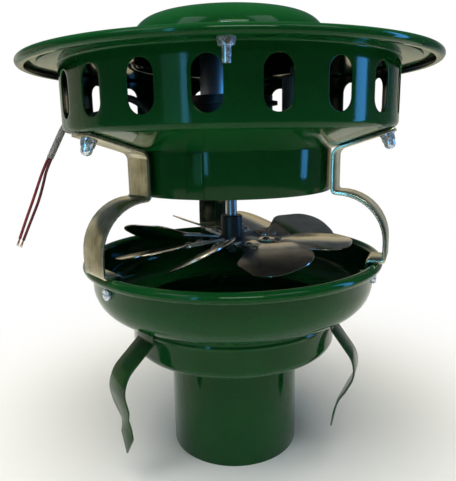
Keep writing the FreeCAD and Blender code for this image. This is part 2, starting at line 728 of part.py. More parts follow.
def capacitor():
    """The run capacitor on the plate, with two blade terminals on its top."""
    base = FreeCAD.Vector(CAPACITOR_X, 0, PLATE_TOP_Z)
    can = Part.makeCylinder(CAPACITOR_R, CAPACITOR_H, base)
    can = can.makeFillet(CAPACITOR_EDGE_R, [edge for edge in can.Edges if edge.Closed])
    root_z = PLATE_TOP_Z + CAPACITOR_H - TERMINAL_THICK
    corner_x = CAPACITOR_X - TERMINAL_WIDTH / 2
    blades = [Part.makeBox(TERMINAL_WIDTH, TERMINAL_THICK, TERMINAL_HEIGHT + TERMINAL_THICK,
                           FreeCAD.Vector(corner_x, y - TERMINAL_THICK / 2, root_z))
              for y in (-CAPACITOR_R / 2, CAPACITOR_R / 2)]
    return can.fuse(blades).removeSplitter()


def capacitor_clip():
    """The band round the capacitor with a leg and a foot on the plate."""
    z = PLATE_TOP_Z + CLIP_LIFT
    outer = CAPACITOR_R + SLIP + CLIP_THICK
    band = ring(outer, CAPACITOR_R + SLIP, CLIP_WIDTH, z)
    band.translate(FreeCAD.Vector(CAPACITOR_X, 0, 0))
    leg_y = CAPACITOR_R + SLIP
    leg = Part.makeBox(CLIP_WIDTH, CLIP_THICK, CLIP_LIFT + CLIP_WIDTH,
                       FreeCAD.Vector(CAPACITOR_X - CLIP_WIDTH / 2, leg_y, PLATE_TOP_Z))
    foot = Part.makeBox(CLIP_WIDTH, 2.2 * M4, CLIP_THICK,
                        FreeCAD.Vector(CAPACITOR_X - CLIP_WIDTH / 2, leg_y, PLATE_TOP_Z))
    return drilled(band.fuse([leg, foot]), upright_drills(M4 / 2 + SLIP, [clip_screw_point(PLATE_TOP_Z)]))


# Rotor, shaft and fan

def rotor_core():
    """The rotor's iron inside the stator."""
    radius = STATOR_BORE_R - ROTOR_AIR_GAP
    return ring(radius, SHAFT_R + RUNNING / 2, STATOR_H + 1.0, stator_base_z() - 0.5)


def motor_shaft():
    """The shaft from the upper bearing down through the neck to the fan, threaded at its end."""
    plain_z = FAN_Z + SPIDER_THICK / 2
    shaft = disc(SHAFT_R, SHAFT_TOP_Z - plain_z, plain_z)
    tail_z = FAN_Z - SHAFT_TAIL
    return shaft.fuse(disc(M8 / 2, plain_z - tail_z, tail_z)).removeSplitter()


def fan_hub():
    """The collar that clamps the fan on the shaft."""
    z = FAN_Z + SPIDER_THICK / 2
    hub = ring(HUB_R, SHAFT_R + RUNNING / 2, HUB_HEIGHT, z)
    rims = [edge for edge in hub.Edges if edge.Closed and edge.BoundBox.XMax > HUB_R - 0.5]
    hub = hub.makeChamfer(HUB_CHAMFER, rims)
    return hub.cut(radial_cylinder(M6 / 2 + RUNNING, 0, HUB_R + 1, z + HUB_SCREW_LIFT))


def hub_set_screw():
    """The socket screw in the hub's side, against the shaft."""
    z = FAN_Z + SPIDER_THICK / 2 + HUB_SCREW_LIFT
    start = SHAFT_R + RUNNING
    screw = radial_cylinder(M6 / 2, start, HUB_R + 1.5 - start, z)
    socket = hexagon(0.5 * M6, 3.0)
    socket = placed(socket, FreeCAD.Vector(HUB_R - 1.0, 0, z), FreeCAD.Vector(1, 0, 0))
    return screw.cut(socket)


def on_arm(shape, index):
    """A flat shape drawn on the arm along +X, twisted, bent and turned as that blade's arm is."""
    copy = shape.copy()
    copy.rotate(FreeCAD.Vector(0, 0, FAN_Z), FreeCAD.Vector(1, 0, 0), BLADE_PITCHES[index])
    copy.rotate(FreeCAD.Vector(ARM_BEND_R, 0, FAN_Z), FreeCAD.Vector(0, 1, 0), -BLADE_LIFTS[index])
    return at_azimuth(copy, FAN_AZIMUTH + index * 360.0 / FAN_BLADES)


def on_each_arm(shape):
    """Copies of a shape on all the arms."""
    return [on_arm(shape, index) for index in range(FAN_BLADES)]


def blade_rivet_drills(radius):
    """Upright drills at the places of a blade's rivets."""
    return upright_drills(radius, [FreeCAD.Vector(ARM_R - inset, 0, FAN_Z) for inset in BLADE_RIVET_INSETS])


def fan_spider():
    """The disc under the hub with a twisted arm for each blade."""
    half = SPIDER_THICK / 2
    plate = disc(SPIDER_R, SPIDER_THICK, FAN_Z - half)
    arm = Part.makeBox(ARM_R - SPIDER_R / 2, ARM_WIDTH, SPIDER_THICK,
                       FreeCAD.Vector(SPIDER_R / 2, -ARM_WIDTH / 2, FAN_Z - half))
    end = [edge for edge in arm.Edges
           if edge.BoundBox.XMin > ARM_R - 0.01 and edge.BoundBox.YLength < ARM_WIDTH / 2]
    arm = arm.makeFillet(0.35 * ARM_WIDTH, end).cut(joined(blade_rivet_drills(BLADE_RIVET_R)))
    hub_clear = disc(HUB_R + 0.5, HUB_HEIGHT, FAN_Z + half)
    nut_clear = disc(M8 + 1.5, HUB_HEIGHT, FAN_Z - half - HUB_HEIGHT)
    arms = joined(on_each_arm(arm)).cut(joined([hub_clear, nut_clear]))
    bore = disc(M8 / 2 + RUNNING, 2 * SPIDER_THICK, FAN_Z - SPIDER_THICK)
    return plate.fuse(arms.Solids).cut(bore).removeSplitter()


def blade_outline():
    """The face of one blade: a narrow root that widens to a paddle with round corners."""
    root, wide = BLADE_ROOT_WIDTH / 2, BLADE_WIDTH / 2
    spread_r = BLADE_ROOT_R + BLADE_SPREAD_SHARE * (FAN_R - BLADE_ROOT_R)
    waist_r = ARM_R - BLADE_ROOT_GAP
    corners = [(BLADE_ROOT_R, 0), (BLADE_ROOT_R, root), (waist_r, root), (spread_r, wide), (FAN_R, wide),
               (FAN_R, 0)]
    radii = [BLADE_ROOT_CORNER_R, BLADE_WAIST_R, BLADE_SHOULDER_R, BLADE_CORNER_R]
    near = edges_along(corners, radii)
    mirror = [edge.mirror(ORIGIN, UP) for edge in near]
    return Part.Face(Part.Wire(Part.__sortEdges__(near + mirror)))


def fan_blade(index):
    """One blade on the upper face of its arm."""
    lift = SPIDER_THICK / 2 + SLIP / 2
    face = blade_outline()
    face.rotate(ORIGIN, FreeCAD.Vector(1, 0, 0), 90)
    face.translate(FreeCAD.Vector(0, 0, FAN_Z + lift))
    blade = face.extrude(FreeCAD.Vector(0, 0, BLADE_THICK)).cut(joined(blade_rivet_drills(BLADE_RIVET_R)))
    return on_arm(blade, index)


def blade_rivets():
    """Two rivets through each blade and its arm."""
    grip = SPIDER_THICK + SLIP / 2 + BLADE_THICK
    low_z = FAN_Z - SPIDER_THICK / 2
    solids = []
    for inset in BLADE_RIVET_INSETS:
        one = rivet(BLADE_RIVET_R - RUNNING / 2, BLADE_RIVET_HEAD_R, grip)
        one.translate(FreeCAD.Vector(ARM_R - inset, 0, low_z))
        solids += on_each_arm(one)
    return joined(solids)


def rivet(shank_r, head_r, grip):
    """A rivet on +Z whose shank fills the grip above the origin, with a low dome at each end."""
    rise = 0.45 * head_r
    sphere_r = (head_r ** 2 + rise ** 2) / (2 * rise)
    top = Part.makeSphere(sphere_r, FreeCAD.Vector(0, 0, grip + rise - sphere_r))
    top = top.common(disc(head_r + 1, rise + 1, grip))
    low = Part.makeSphere(sphere_r, FreeCAD.Vector(0, 0, sphere_r - rise))
    low = low.common(disc(head_r + 1, rise + 1, -rise - 1))
    return disc(shank_r, grip, 0).fuse([top, low]).removeSplitter()


def fan_washer():
    """The washer under the spider."""
    return placed(washer(M8), FreeCAD.Vector(0, 0, FAN_Z - SPIDER_THICK / 2), DOWN)


def fan_nut():
    """The nut on the shaft's threaded end."""
    z = FAN_Z - SPIDER_THICK / 2 - washer_height(M8)
    return placed(nut(M8), FreeCAD.Vector(0, 0, z), DOWN)


# Straps

def strap_bolt_frame(azimuth, depth):
    """The point below the drum's cone where a strap bolt passes, and the cone's outward normal."""
    turn = math.radians(azimuth)
    normal = (math.sin(SLOPE), -math.cos(SLOPE))
    radius = STRAP_BOLT_R + normal[0] * depth
    z = cone_z(STRAP_BOLT_R) + normal[1] * depth
    point = FreeCAD.Vector(radius * math.sin(turn), -radius * math.cos(turn), z)
    axis = FreeCAD.Vector(normal[0] * math.sin(turn), -normal[0] * math.cos(turn), normal[1])
    return point, axis


def strap_arm_holes():
    """Holes for the strap bolts through the drum's cone and the straps' arms."""
    holes = []
    for azimuth in STRAP_AZIMUTH.values():
        point, axis = strap_bolt_frame(azimuth, -DRILL_REACH / 2)
        holes.append(placed(disc(M6 / 2 + 2 * SLIP, DRILL_REACH, 0), point, axis))
    return holes


def strap_foot_holes():
    """Holes for the foot bolts through the bowl's wall and the straps' feet."""
    drill = wall_drill(M6 / 2 + 2 * SLIP, BOWL_R, STRAP_FOOT_BOLT_Z)
    return [at_azimuth(drill, azimuth) for azimuth in STRAP_AZIMUTH.values()]


def strap_foot_face_r():
    """The radius of the foot's outer face, so that its flat corners clear the round wall."""
    wall_r = BOWL_R - SHEET - SLIP
    return math.sqrt(wall_r ** 2 - (STRAP_WIDTH / 2) ** 2)


def strap(name):
    """One bent strip from the drum's cone, down beside the neck, out and over the bowl's rim."""
    inner_r = NECK_R + STRAP_NECK_GAP
    arm_r = DRUM_R - STRAP_ARM_INSET
    arm_z = cone_z(arm_r) - SLIP / math.cos(SLOPE)
    bend_z = cone_z(inner_r) - SLIP / math.cos(SLOPE)
    roll_r = BOWL_R - SHEET + 2 * RIM_ROLL_R + STRAP_RIM_GAP
    fold_z = NECK_BOTTOM_Z - STRAP_FOLD_DROP - STRAP_THICK / 2
    over_z = RIM_TOP_Z + SLIP + STRAP_THICK
    sweep_r = min(roll_r - inner_r - STRAP_FOLD_BEND_R, fold_z - over_z - STRAP_THICK / 3) - SLIP
    foot_r = strap_foot_face_r() - STRAP_THICK
    corners = [(arm_r, arm_z), (inner_r, bend_z), (inner_r, fold_z), (roll_r, fold_z), (roll_r, over_z),
               (foot_r, over_z), (foot_r, RIM_TOP_Z - STRAP_FOOT_DROP)]
    radii = [3.0 * STRAP_THICK, STRAP_FOLD_BEND_R, sweep_r, STRAP_THICK / 3, 1.5 * STRAP_THICK]
    face = sheet_face(corners, radii, STRAP_THICK)
    strip = face.extrude(FreeCAD.Vector(0, STRAP_WIDTH, 0))
    strip.translate(FreeCAD.Vector(0, -STRAP_WIDTH / 2, 0))
    return drilled(at_azimuth(strip, STRAP_AZIMUTH[name]), strap_arm_holes() + strap_foot_holes())


def strap_bolts():
    """Screws from inside the drum down through its cone and the straps' arms."""
    grip = SHEET + SLIP + STRAP_THICK
    length = grip + washer_height(M6) + 0.8 * M6 + 3.0
    solids = []
    for azimuth in STRAP_AZIMUTH.values():
        point, axis = strap_bolt_frame(azimuth, -SHEET - SLIP)
        solids.append(placed(pan_screw(M6, length), point, axis.negative()))
    return joined(solids)


def strap_washers():
    """Washers under the straps' arms."""
    solids = []
    for azimuth in STRAP_AZIMUTH.values():
        point, axis = strap_bolt_frame(azimuth, STRAP_THICK + SLIP)
        solids.append(placed(washer(M6), point, axis))
    return joined(solids)


def acorn_nut(thread):
    """A dome nut with its seat at the origin."""
    hex_h = 0.8 * thread
    dome_r = 0.75 * thread
    neck = disc(dome_r, 0.35 * thread, hex_h)
    dome = Part.makeSphere(dome_r, FreeCAD.Vector(0, 0, hex_h + 0.35 * thread))
    dome = dome.common(disc(dome_r + 1, dome_r + 1, hex_h + 0.35 * thread))
    body = hexagon(1.7 * thread, hex_h).common(Part.makeCone(1.02 * thread, 0.86 * thread, hex_h))
    return body.fuse([neck, dome]).cut(disc(thread / 2 + RUNNING, hex_h + 0.7 * thread, 0)).removeSplitter()


def strap_acorn_nuts():
    """Dome nuts on the strap bolts."""
    solids = []
    for azimuth in STRAP_AZIMUTH.values():
        point, axis = strap_bolt_frame(azimuth, STRAP_THICK + SLIP + washer_height(M6))
        solids.append(placed(acorn_nut(M6), point, axis))
    return joined(solids)


def strap_foot_bolts():
    """Screws from outside through the bowl's wall and the straps' feet."""
    inner_r = strap_foot_face_r() - STRAP_THICK
    length = BOWL_R + SLIP - inner_r + 0.8 * M6 + 1.0
    screw = placed(pan_screw(M6, length), FreeCAD.Vector(BOWL_R + SLIP, 0, STRAP_FOOT_BOLT_Z),
                   FreeCAD.Vector(1, 0, 0))
    return joined([at_azimuth(screw, azimuth) for azimuth in STRAP_AZIMUTH.values()])


def strap_foot_nuts():
    """Nuts inside the straps' feet."""
    inner_r = strap_foot_face_r() - STRAP_THICK
    one = placed(nut(M6), FreeCAD.Vector(inner_r, 0, STRAP_FOOT_BOLT_Z), FreeCAD.Vector(-1, 0, 0))
    return joined([at_azimuth(one, azimuth) for azimuth in STRAP_AZIMUTH.values()])


# Spring legs

def leg_face_r():
    """The radius of a leg's inner face, against the collar's beads."""
    return COLLAR_R + COLLAR_BEAD_OUT + SLIP


def leg_rivet_holes():
    """Holes for the leg rivets through the collar, the bowl's lip and the tabs."""
    holes = []
    for y in (-LEG_RIVET_SPREAD, LEG_RIVET_SPREAD):
        drill = wall_drill(LEG_RIVET_R, COLLAR_R, LEG_RIVET_Z)
        drill.translate(FreeCAD.Vector(0, y, 0))
        holes += [at_azimuth(drill, azimuth) for azimuth in STRAP_AZIMUTH.values()]
    return holes


def leg_tab(name):
    """The riveted upper end of a leg, flat against the collar."""
    low = LEG_BEND_Z + LEG_THICK / 2 + BODY_GAP
    tab = Part.makeBox(LEG_THICK, LEG_WIDTH, COLLAR_TOP_Z - low,
                       FreeCAD.Vector(leg_face_r(), -LEG_WIDTH / 2, low))
    return drilled(at_azimuth(tab, STRAP_AZIMUTH[name]), leg_rivet_holes())


def leg_rivets():
    """Two rivets through each tab, the collar and the bowl's lip."""
    inner_r = math.sqrt((COLLAR_R - 2 * SHEET - 2 * SLIP) ** 2 - (LEG_RIVET_SPREAD + LEG_RIVET_HEAD_R) ** 2)
    outer_r = leg_face_r() + LEG_THICK
    one = placed(rivet(LEG_RIVET_R - RUNNING / 2, LEG_RIVET_HEAD_R, outer_r - inner_r),
                 FreeCAD.Vector(inner_r, 0, LEG_RIVET_Z), FreeCAD.Vector(1, 0, 0))
    solids = []
    for y in (-LEG_RIVET_SPREAD, LEG_RIVET_SPREAD):
        moved = one.translated(FreeCAD.Vector(0, y, 0))
        solids += [at_azimuth(moved, azimuth) for azimuth in STRAP_AZIMUTH.values()]
    return joined(solids)


def leg_outline():
    """The front view of a leg's strip, as a prism along +X: wide, then a waist and a point."""
    half, waist, point = LEG_WIDTH / 2, LEG_WAIST_WIDTH / 2, LEG_POINT_WIDTH / 2
    tip_z = LEG_BEND_Z - LEG_TIP_DROP
    waist_z = tip_z + LEG_WAIST_RISE
    right = [(half, LEG_BEND_Z + LEG_THICK), (half, waist_z + LEG_WAIST_TAPER), (waist, waist_z),
             (point, tip_z + LEG_POINT_RISE), (0, tip_z)]
    left = [(-y, z) for y, z in reversed(right[:-1])]
    loop = [FreeCAD.Vector(COLLAR_R, y, z) for y, z in right + left]
    return Part.Face(Part.makePolygon(loop + loop[:1])).extrude(FreeCAD.Vector(2 * LEG_KNEE_OUT, 0, 0))


def spring_leg(name):
    """The springy part of a leg: out from the collar, round a knee and down to a pointed foot."""
    start_r = leg_face_r() + LEG_THICK / 2
    corners = [(start_r, LEG_BEND_Z), (COLLAR_R + LEG_KNEE_OUT, LEG_BEND_Z - LEG_KNEE_DROP),
               (COLLAR_R + LEG_ANKLE_OUT, LEG_BEND_Z - LEG_ANKLE_DROP),
               (COLLAR_R + LEG_TIP_OUT, LEG_BEND_Z - LEG_TIP_DROP - LEG_THICK)]
    centred = shifted(corners, -LEG_THICK / 2)
    face = sheet_face(centred, [LEG_KNEE_BEND_R, LEG_ANKLE_BEND_R], LEG_THICK)
    strip = face.extrude(FreeCAD.Vector(0, LEG_WIDTH, 0))
    strip.translate(FreeCAD.Vector(0, -LEG_WIDTH / 2, 0))
    blade = strip.common(leg_outline())
    blade.rotate(FreeCAD.Vector(start_r, 0, LEG_BEND_Z), FreeCAD.Vector(0, 1, 0), LEG_LEAN_ANGLE[name])
    return at_azimuth(blade, STRAP_AZIMUTH[name])


# Lead and cord

def tube_along(name, route, diameter):
    """A round tube along a route of straight runs and the largest tangent arcs that fit."""
    edges = []
    radii = []
    start = route[0]
    for index in range(1, len(route) - 1):
        corner = route[index]
        before = corner - route[index - 1]
        after = route[index + 1] - corner
        shorter = min(before.Length, after.Length)
        half = before.getAngle(after) / 2
        radius = 0.45 * shorter / math.tan(half)
        radii.append(round(radius, 1))
        before = before.normalize()
        after = after.normalize()
        arc_start = corner - before * (0.45 * shorter)
        arc_end = corner + after * (0.45 * shorter)
        inward = (after - before).normalize()
        middle = corner + inward * (radius / math.cos(half) - radius)
        edges.append(Part.LineSegment(start, arc_start).toShape())
        edges.append(Part.Arc(arc_start, middle, arc_end).toShape())
        start = arc_end
    edges.append(Part.LineSegment(start, route[-1]).toShape())
    wire = Part.Wire(edges)
    length = wire.Length
    heading = (route[1] - route[0]).normalize()
    section = Part.Wire(Part.makeCircle(diameter / 2, route[0], heading))
    tube = wire.makePipeShell([section], True, False)
    share = tube.Volume / (math.pi * diameter ** 2 / 4 * length)
    print(name, "radii", radii, "length", round(length, 1), "volume share", round(share, 4))
    return tube


def lead_grommet():
    """The rubber bush in the drum's wall."""
    waist = DRUM_R - SHEET
    inner, outer = waist - GROMMET_FLANGE - 0.3, DRUM_R + GROMMET_FLANGE
    body = radial_cylinder(GROMMET_WAIST_R, inner, outer - inner, 0)
    body = body.fuse([radial_cylinder(GROMMET_R, inner, GROMMET_FLANGE, 0),
                      radial_cylinder(GROMMET_R, DRUM_R + SLIP, GROMMET_FLANGE - SLIP, 0)])
    body = body.cut(radial_cylinder(CORD_D / 2 + RUNNING, inner - 1, outer - inner + 2, 0)).removeSplitter()
    body.translate(FreeCAD.Vector(0, 0, GROMMET_Z))
    return at_azimuth(body, GROMMET_AZIMUTH)


def grommet_point(radius):
    """A point on the grommet's axis, at a distance from the fan's axis."""
    return circle_points(radius, 1, GROMMET_AZIMUTH, GROMMET_Z)[0]


def stepped(start, steps):
    """Points at given steps from a start."""
    return [start + FreeCAD.Vector(*step) for step in steps]


def cord_route():
    """The sheath's route: straight out of the grommet, then down."""
    wall = grommet_point(DRUM_R)
    return [grommet_point(DRUM_R - CORD_INSET), grommet_point(DRUM_R + CORD_STUB)] + stepped(wall, CORD_DROP)


def wire_route(drop, side):
    """The route of one wire from its place in the sheath's end, on one side of its middle."""
    before, end = cord_route()[-2:]
    heading = (end - before).normalize()
    across = heading.cross(FreeCAD.Vector(0, 1, 0)).normalize()
    start = end + heading * SLIP + across * (side * (WIRE_D / 2 + RUNNING))
    return [start, start + heading * WIRE_STUB] + stepped(end, drop)


def wire_routes():
    """The routes of both wires."""
    return [wire_route(WIRE_A_DROP, -1), wire_route(WIRE_B_DROP, 1)]


def lead_route():
    """The lead's route inside the drum, from the grommet over to the motor's housing."""
    points = [grommet_point(DRUM_R - LEAD_INSET), grommet_point(DRUM_R - LEAD_STUB)]
    for share, back, height in LEAD_SAG:
        reach = MOTOR_R + share * (DRUM_R - MOTOR_R)
        points.append(FreeCAD.Vector(-reach, back, GROMMET_Z + height))
    return points + [FreeCAD.Vector(-MOTOR_R - BODY_GAP, 0, GROMMET_Z - LEAD_END_DROP)]


def wire_ends():
    """The stripped copper strands at the ends of the two wires."""
    solids = []
    for route in wire_routes():
        heading = (route[-1] - route[-2]).normalize()
        solids.append(Part.makeCylinder(STRAND_D / 2, STRAND_LENGTH, route[-1], heading))
    return joined(solids)


def parts():
    """Every piece by its node name."""
    pieces = {
        "spigot": spigot(),
        "collar": collar(),
        "bowl": bowl(),
        "neck_tube": neck_tube(),
        "neck_baffle": neck_baffle(),
        "drum_casing": drum_casing(),
        "hat": hat(),
        "hat_washers": hat_washers(),
        "hat_bolts": hat_bolts(),
        "hat_nuts": hat_nuts(),
        "motor_plate": motor_plate(),
        "plate_bolts": plate_bolts(),
        "plate_nuts": plate_nuts(),
        "motor_body": motor_body(),
        "motor_bell": motor_bell(),
        "motor_can": motor_can(),
        "lower_bearing": lower_bearing(),
        "upper_bearing": upper_bearing(),
        "stator_core": stator_core(),
        "stator_coils": stator_coils(),
        "motor_screws": motor_screws(),
        "capacitor": capacitor(),
        "capacitor_clip": capacitor_clip(),
        "rotor_core": rotor_core(),
        "motor_shaft": motor_shaft(),
        "fan_hub": fan_hub(),
        "hub_set_screw": hub_set_screw(),
        "fan_spider": fan_spider(),
        "blade_rivets": blade_rivets(),
        "fan_washer": fan_washer(),
        "fan_nut": fan_nut(),
        "strap_bolts": strap_bolts(),
        "strap_washers": strap_washers(),
        "strap_acorn_nuts": strap_acorn_nuts(),
        "strap_foot_bolts": strap_foot_bolts(),
        "strap_foot_nuts": strap_foot_nuts(),
        "leg_rivets": leg_rivets(),
        "lead_grommet": lead_grommet(),
        "cord_sheath": tube_along("cord_sheath", cord_route(), CORD_D),
        "cord_wire_a": tube_along("cord_wire_a", wire_routes()[0], WIRE_D),
        "cord_wire_b": tube_along("cord_wire_b", wire_routes()[1], WIRE_D),
        "wire_ends": wire_ends(),
        "motor_lead": tube_along("motor_lead", lead_route(), CORD_D),
    }
    for name in STRAP_AZIMUTH:
        pieces["strap_" + name] = strap(name)
        pieces["leg_tab_" + name] = leg_tab(name)
        pieces["spring_leg_" + name] = spring_leg(name)
    for index in range(FAN_BLADES):
        pieces["fan_blade_%d" % (index + 1)] = fan_blade(index)
    return pieces


def main():
    """Writes one file for each piece."""
    os.makedirs("parts", exist_ok=True)
    for name, shape in sorted(parts().items()):
        shape.exportStep("parts/%s.step" % name)
        print("%-18s %2d solids %10.1f mm3" % (name, len(shape.Solids), shape.Volume))


main()
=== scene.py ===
"""Visual model of a chimney draft inducer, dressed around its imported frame.

Sizes are written in millimetres and become metres as the meshes are made. An azimuth is counted in degrees
from the front (-Y) towards the right (+X). Each sub-assembly is a class that holds its own sizes.
"""

import logging
import math
from collections.abc import Sequence
from dataclasses import dataclass, field
from enum import Enum

import bmesh
import bpy
from bmesh.types import BMesh
from mathutils import Matrix, Vector


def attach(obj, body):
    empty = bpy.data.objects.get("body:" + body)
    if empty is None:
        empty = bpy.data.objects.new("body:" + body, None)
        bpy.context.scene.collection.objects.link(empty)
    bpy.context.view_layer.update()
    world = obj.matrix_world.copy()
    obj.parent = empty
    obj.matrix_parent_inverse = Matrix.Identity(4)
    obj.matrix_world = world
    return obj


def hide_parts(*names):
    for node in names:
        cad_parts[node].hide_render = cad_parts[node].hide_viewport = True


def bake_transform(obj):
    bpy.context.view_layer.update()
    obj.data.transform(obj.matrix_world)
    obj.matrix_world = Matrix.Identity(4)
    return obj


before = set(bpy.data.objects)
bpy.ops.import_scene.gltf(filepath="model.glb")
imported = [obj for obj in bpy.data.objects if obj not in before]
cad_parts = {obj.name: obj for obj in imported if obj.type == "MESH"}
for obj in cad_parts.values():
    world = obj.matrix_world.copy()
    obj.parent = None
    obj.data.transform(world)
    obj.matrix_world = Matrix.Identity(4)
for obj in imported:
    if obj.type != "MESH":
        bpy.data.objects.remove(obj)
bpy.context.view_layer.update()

LOG = logging.getLogger("draft_inducer")
MM = 0.001
GRAIN = "grain"
Corner = tuple[float, float]
Point = tuple[float, float, float]


class Body(Enum):
    """The rigid bodies that pieces ride on."""

    BASE = "base"
    ROTOR = "rotor"


class Side(Enum):
    """The side of a profile's line that its wall lies on, looking along the line."""

    LEFT = 1
    RIGHT = -1


class Rays(Enum):
    """Which rays a lamp answers to."""

    ALL = "all"
    DIFFUSE = "diffuse"
    GLOSS = "gloss"


def linear(colour: str) -> tuple[float, float, float, float]:
    """Turn an sRGB hex value to a linear colour.

    Args:
        colour: six hex digits after a hash.

    Returns:
        The linear red, green and blue, and an alpha of one.
    """
    parts = [int(colour[i:i + 2], 16) / 255 for i in (1, 3, 5)]
    red, green, blue = [v / 12.92 if v <= 0.04045 else ((v + 0.055) / 1.055) ** 2.4 for v in parts]
    return red, green, blue, 1.0


def turn_to(azimuth: float) -> Matrix:
    """The turn about the axis that takes +X to an azimuth."""
    return Matrix.Rotation(math.radians(azimuth - 90.0), 4, "Z")


def polar(radius: float, azimuth: float, z: float) -> Vector:
    """The point at a radius, an azimuth and a height, in metres."""
    return turn_to(azimuth) @ Vector((radius * MM, 0.0, z * MM))


def smooth(value: float) -> float:
    """A smooth step from 0 to 1 as the value goes from 0 to 1."""
    value = min(max(value, 0.0), 1.0)
    return value * value * (3.0 - 2.0 * value)


# Finishes

Inputs = dict[str | int, object]


def add_node(tree: bpy.types.NodeTree, kind: str, inputs: Inputs, **settings: object) -> bpy.types.Node:
    """Add one node with its settings, constants and links.

    Args:
        tree: the node tree that gets the node.
        kind: the node's type.
        inputs: socket name or number, with a constant or the socket that feeds it.
        settings: properties of the node.

    Returns:
        The new node.
    """
    node = tree.nodes.new(kind)
    for key, value in settings.items():
        setattr(node, key, value)
    for key, value in inputs.items():
        if isinstance(value, bpy.types.NodeSocket):
            tree.links.new(value, node.inputs[key])
        else:
            node.inputs[key].default_value = value
    return node


@dataclass(frozen=True)
class Finish:
    """A surface as it was made: two near colours, a pattern with a real size, and its gloss.

    Attributes:
        slot: the name of the piece's finish slot; not used.
        rough: the lowest and highest roughness.
        size: the pattern's size, in millimetres.
        depth: the relief's depth, in millimetres.
        patch: the size of the slow drift of colour, in millimetres.
        glint: the tint of the gloss.
    """

    name: str
    slot: str
    light: str
    dark: str
    rough: tuple[float, float]
    size: float
    depth: float
    patch: float = 30.0
    metallic: float = 0.0
    specular: float = 0.5
    coat: float = 0.0
    glint: str = "#ffffff"

    def place(self, tree: bpy.types.NodeTree) -> bpy.types.NodeSocket:
        """The coordinates that the pattern follows."""
        return add_node(tree, "ShaderNodeTexCoord", {}).outputs["Object"]

    def pattern(self, tree: bpy.types.NodeTree, place: bpy.types.NodeSocket) -> bpy.types.NodeSocket:
        """A fine even grain; other finishes put their own pattern here."""
        noise = {"Vector": place, "Scale": 1 / (self.size * MM), "Detail": 3.0}
        return add_node(tree, "ShaderNodeTexNoise", noise).outputs[0]

    def build(self) -> bpy.types.Material:
        """Make the material.

        Returns:
            A node material with colour, roughness and relief from the pattern, and a slow drift of colour.
        """
        material = bpy.data.materials.new(self.name)
        material.use_nodes = True
        tree = material.node_tree
        shader = tree.nodes["Principled BSDF"]
        shader.inputs["Metallic"].default_value = self.metallic
        shader.inputs["Specular IOR Level"].default_value = self.specular
        shader.inputs["Specular Tint"].default_value = linear(self.glint)
        shader.inputs["Coat Weight"].default_value = self.coat
        shader.inputs["Coat Roughness"].default_value = 0.12
        place = self.place(tree)
        pattern = self.pattern(tree, place)
        drift = add_node(tree, "ShaderNodeTexNoise",
                         {"Vector": place, "Scale": 1 / (self.patch * MM), "Detail": 2.0}).outputs[0]
        tint = add_node(tree, "ShaderNodeMix", {0: 0.4, 2: drift, 3: pattern}).outputs[0]
        spread = add_node(tree, "ShaderNodeMapRange",
                          {"Value": tint, "From Min": 0.3, "From Max": 0.7}).outputs[0]
        colour = add_node(tree, "ShaderNodeMix", {0: spread, 6: linear(self.dark), 7: linear(self.light)},
                          data_type="RGBA").outputs[2]
        rough = add_node(tree, "ShaderNodeMapRange",
                         {"Value": pattern, "From Min": 0.3, "From Max": 0.7, "To Min": self.rough[0],
                          "To Max": self.rough[1]}).outputs[0]
        bump = add_node(tree, "ShaderNodeBump",
                        {"Strength": 1.0, "Distance": self.depth * MM, "Height": pattern})
        tree.links.new(colour, shader.inputs["Base Color"])
        tree.links.new(rough, shader.inputs["Roughness"])
        tree.links.new(bump.outputs[0], shader.inputs["Normal"])
        return material


@dataclass(frozen=True)
class Streaked(Finish):
    """A rolled strip: long scratches that follow its flat shape, stored before it was bent."""

    length: float = 60.0

    def place(self, tree: bpy.types.NodeTree) -> bpy.types.NodeSocket:
        """The strip's own flat coordinates."""
        return add_node(tree, "ShaderNodeAttribute", {}, attribute_name=GRAIN).outputs["Vector"]

    def pattern(self, tree: bpy.types.NodeTree, place: bpy.types.NodeSocket) -> bpy.types.NodeSocket:
        """Noise drawn out along the strip."""
        slow, fast = 1 / (self.length * MM), 1 / (self.size * MM)
        drawn = add_node(tree, "ShaderNodeMapping", {"Vector": place, "Scale": (slow, fast, slow)}).outputs[0]
        return add_node(tree, "ShaderNodeTexNoise", {"Vector": drawn, "Scale": 1.0, "Detail": 4.0}).outputs[0]


@dataclass(frozen=True)
class Ringed(Finish):
    """A turned or deep-drawn surface: fine rings round the axis."""

    def pattern(self, tree: bpy.types.NodeTree, place: bpy.types.NodeSocket) -> bpy.types.NodeSocket:
        """Noise that changes quickly with height and slowly round the piece."""
        slow, fast = 1 / (40.0 * self.size * MM), 1 / (self.size * MM)
        drawn = add_node(tree, "ShaderNodeMapping", {"Vector": place, "Scale": (slow, slow, fast)}).outputs[0]
        return add_node(tree, "ShaderNodeTexNoise", {"Vector": drawn, "Scale": 1.0, "Detail": 3.0}).outputs[0]


@dataclass(frozen=True)
class Banded(Finish):
    """Stacked or wound stock: even bands up the axis, a little uneven."""

    def pattern(self, tree: bpy.types.NodeTree, place: bpy.types.NodeSocket) -> bpy.types.NodeSocket:
        """Waves up the axis, one band to each sheet or turn of wire."""
        wave = {"Vector": place, "Scale": 0.314 / (self.size * MM), "Distortion": 0.4, "Detail": 1.0}
        return add_node(tree, "ShaderNodeTexWave", wave, bands_direction="Z").outputs["Fac"]


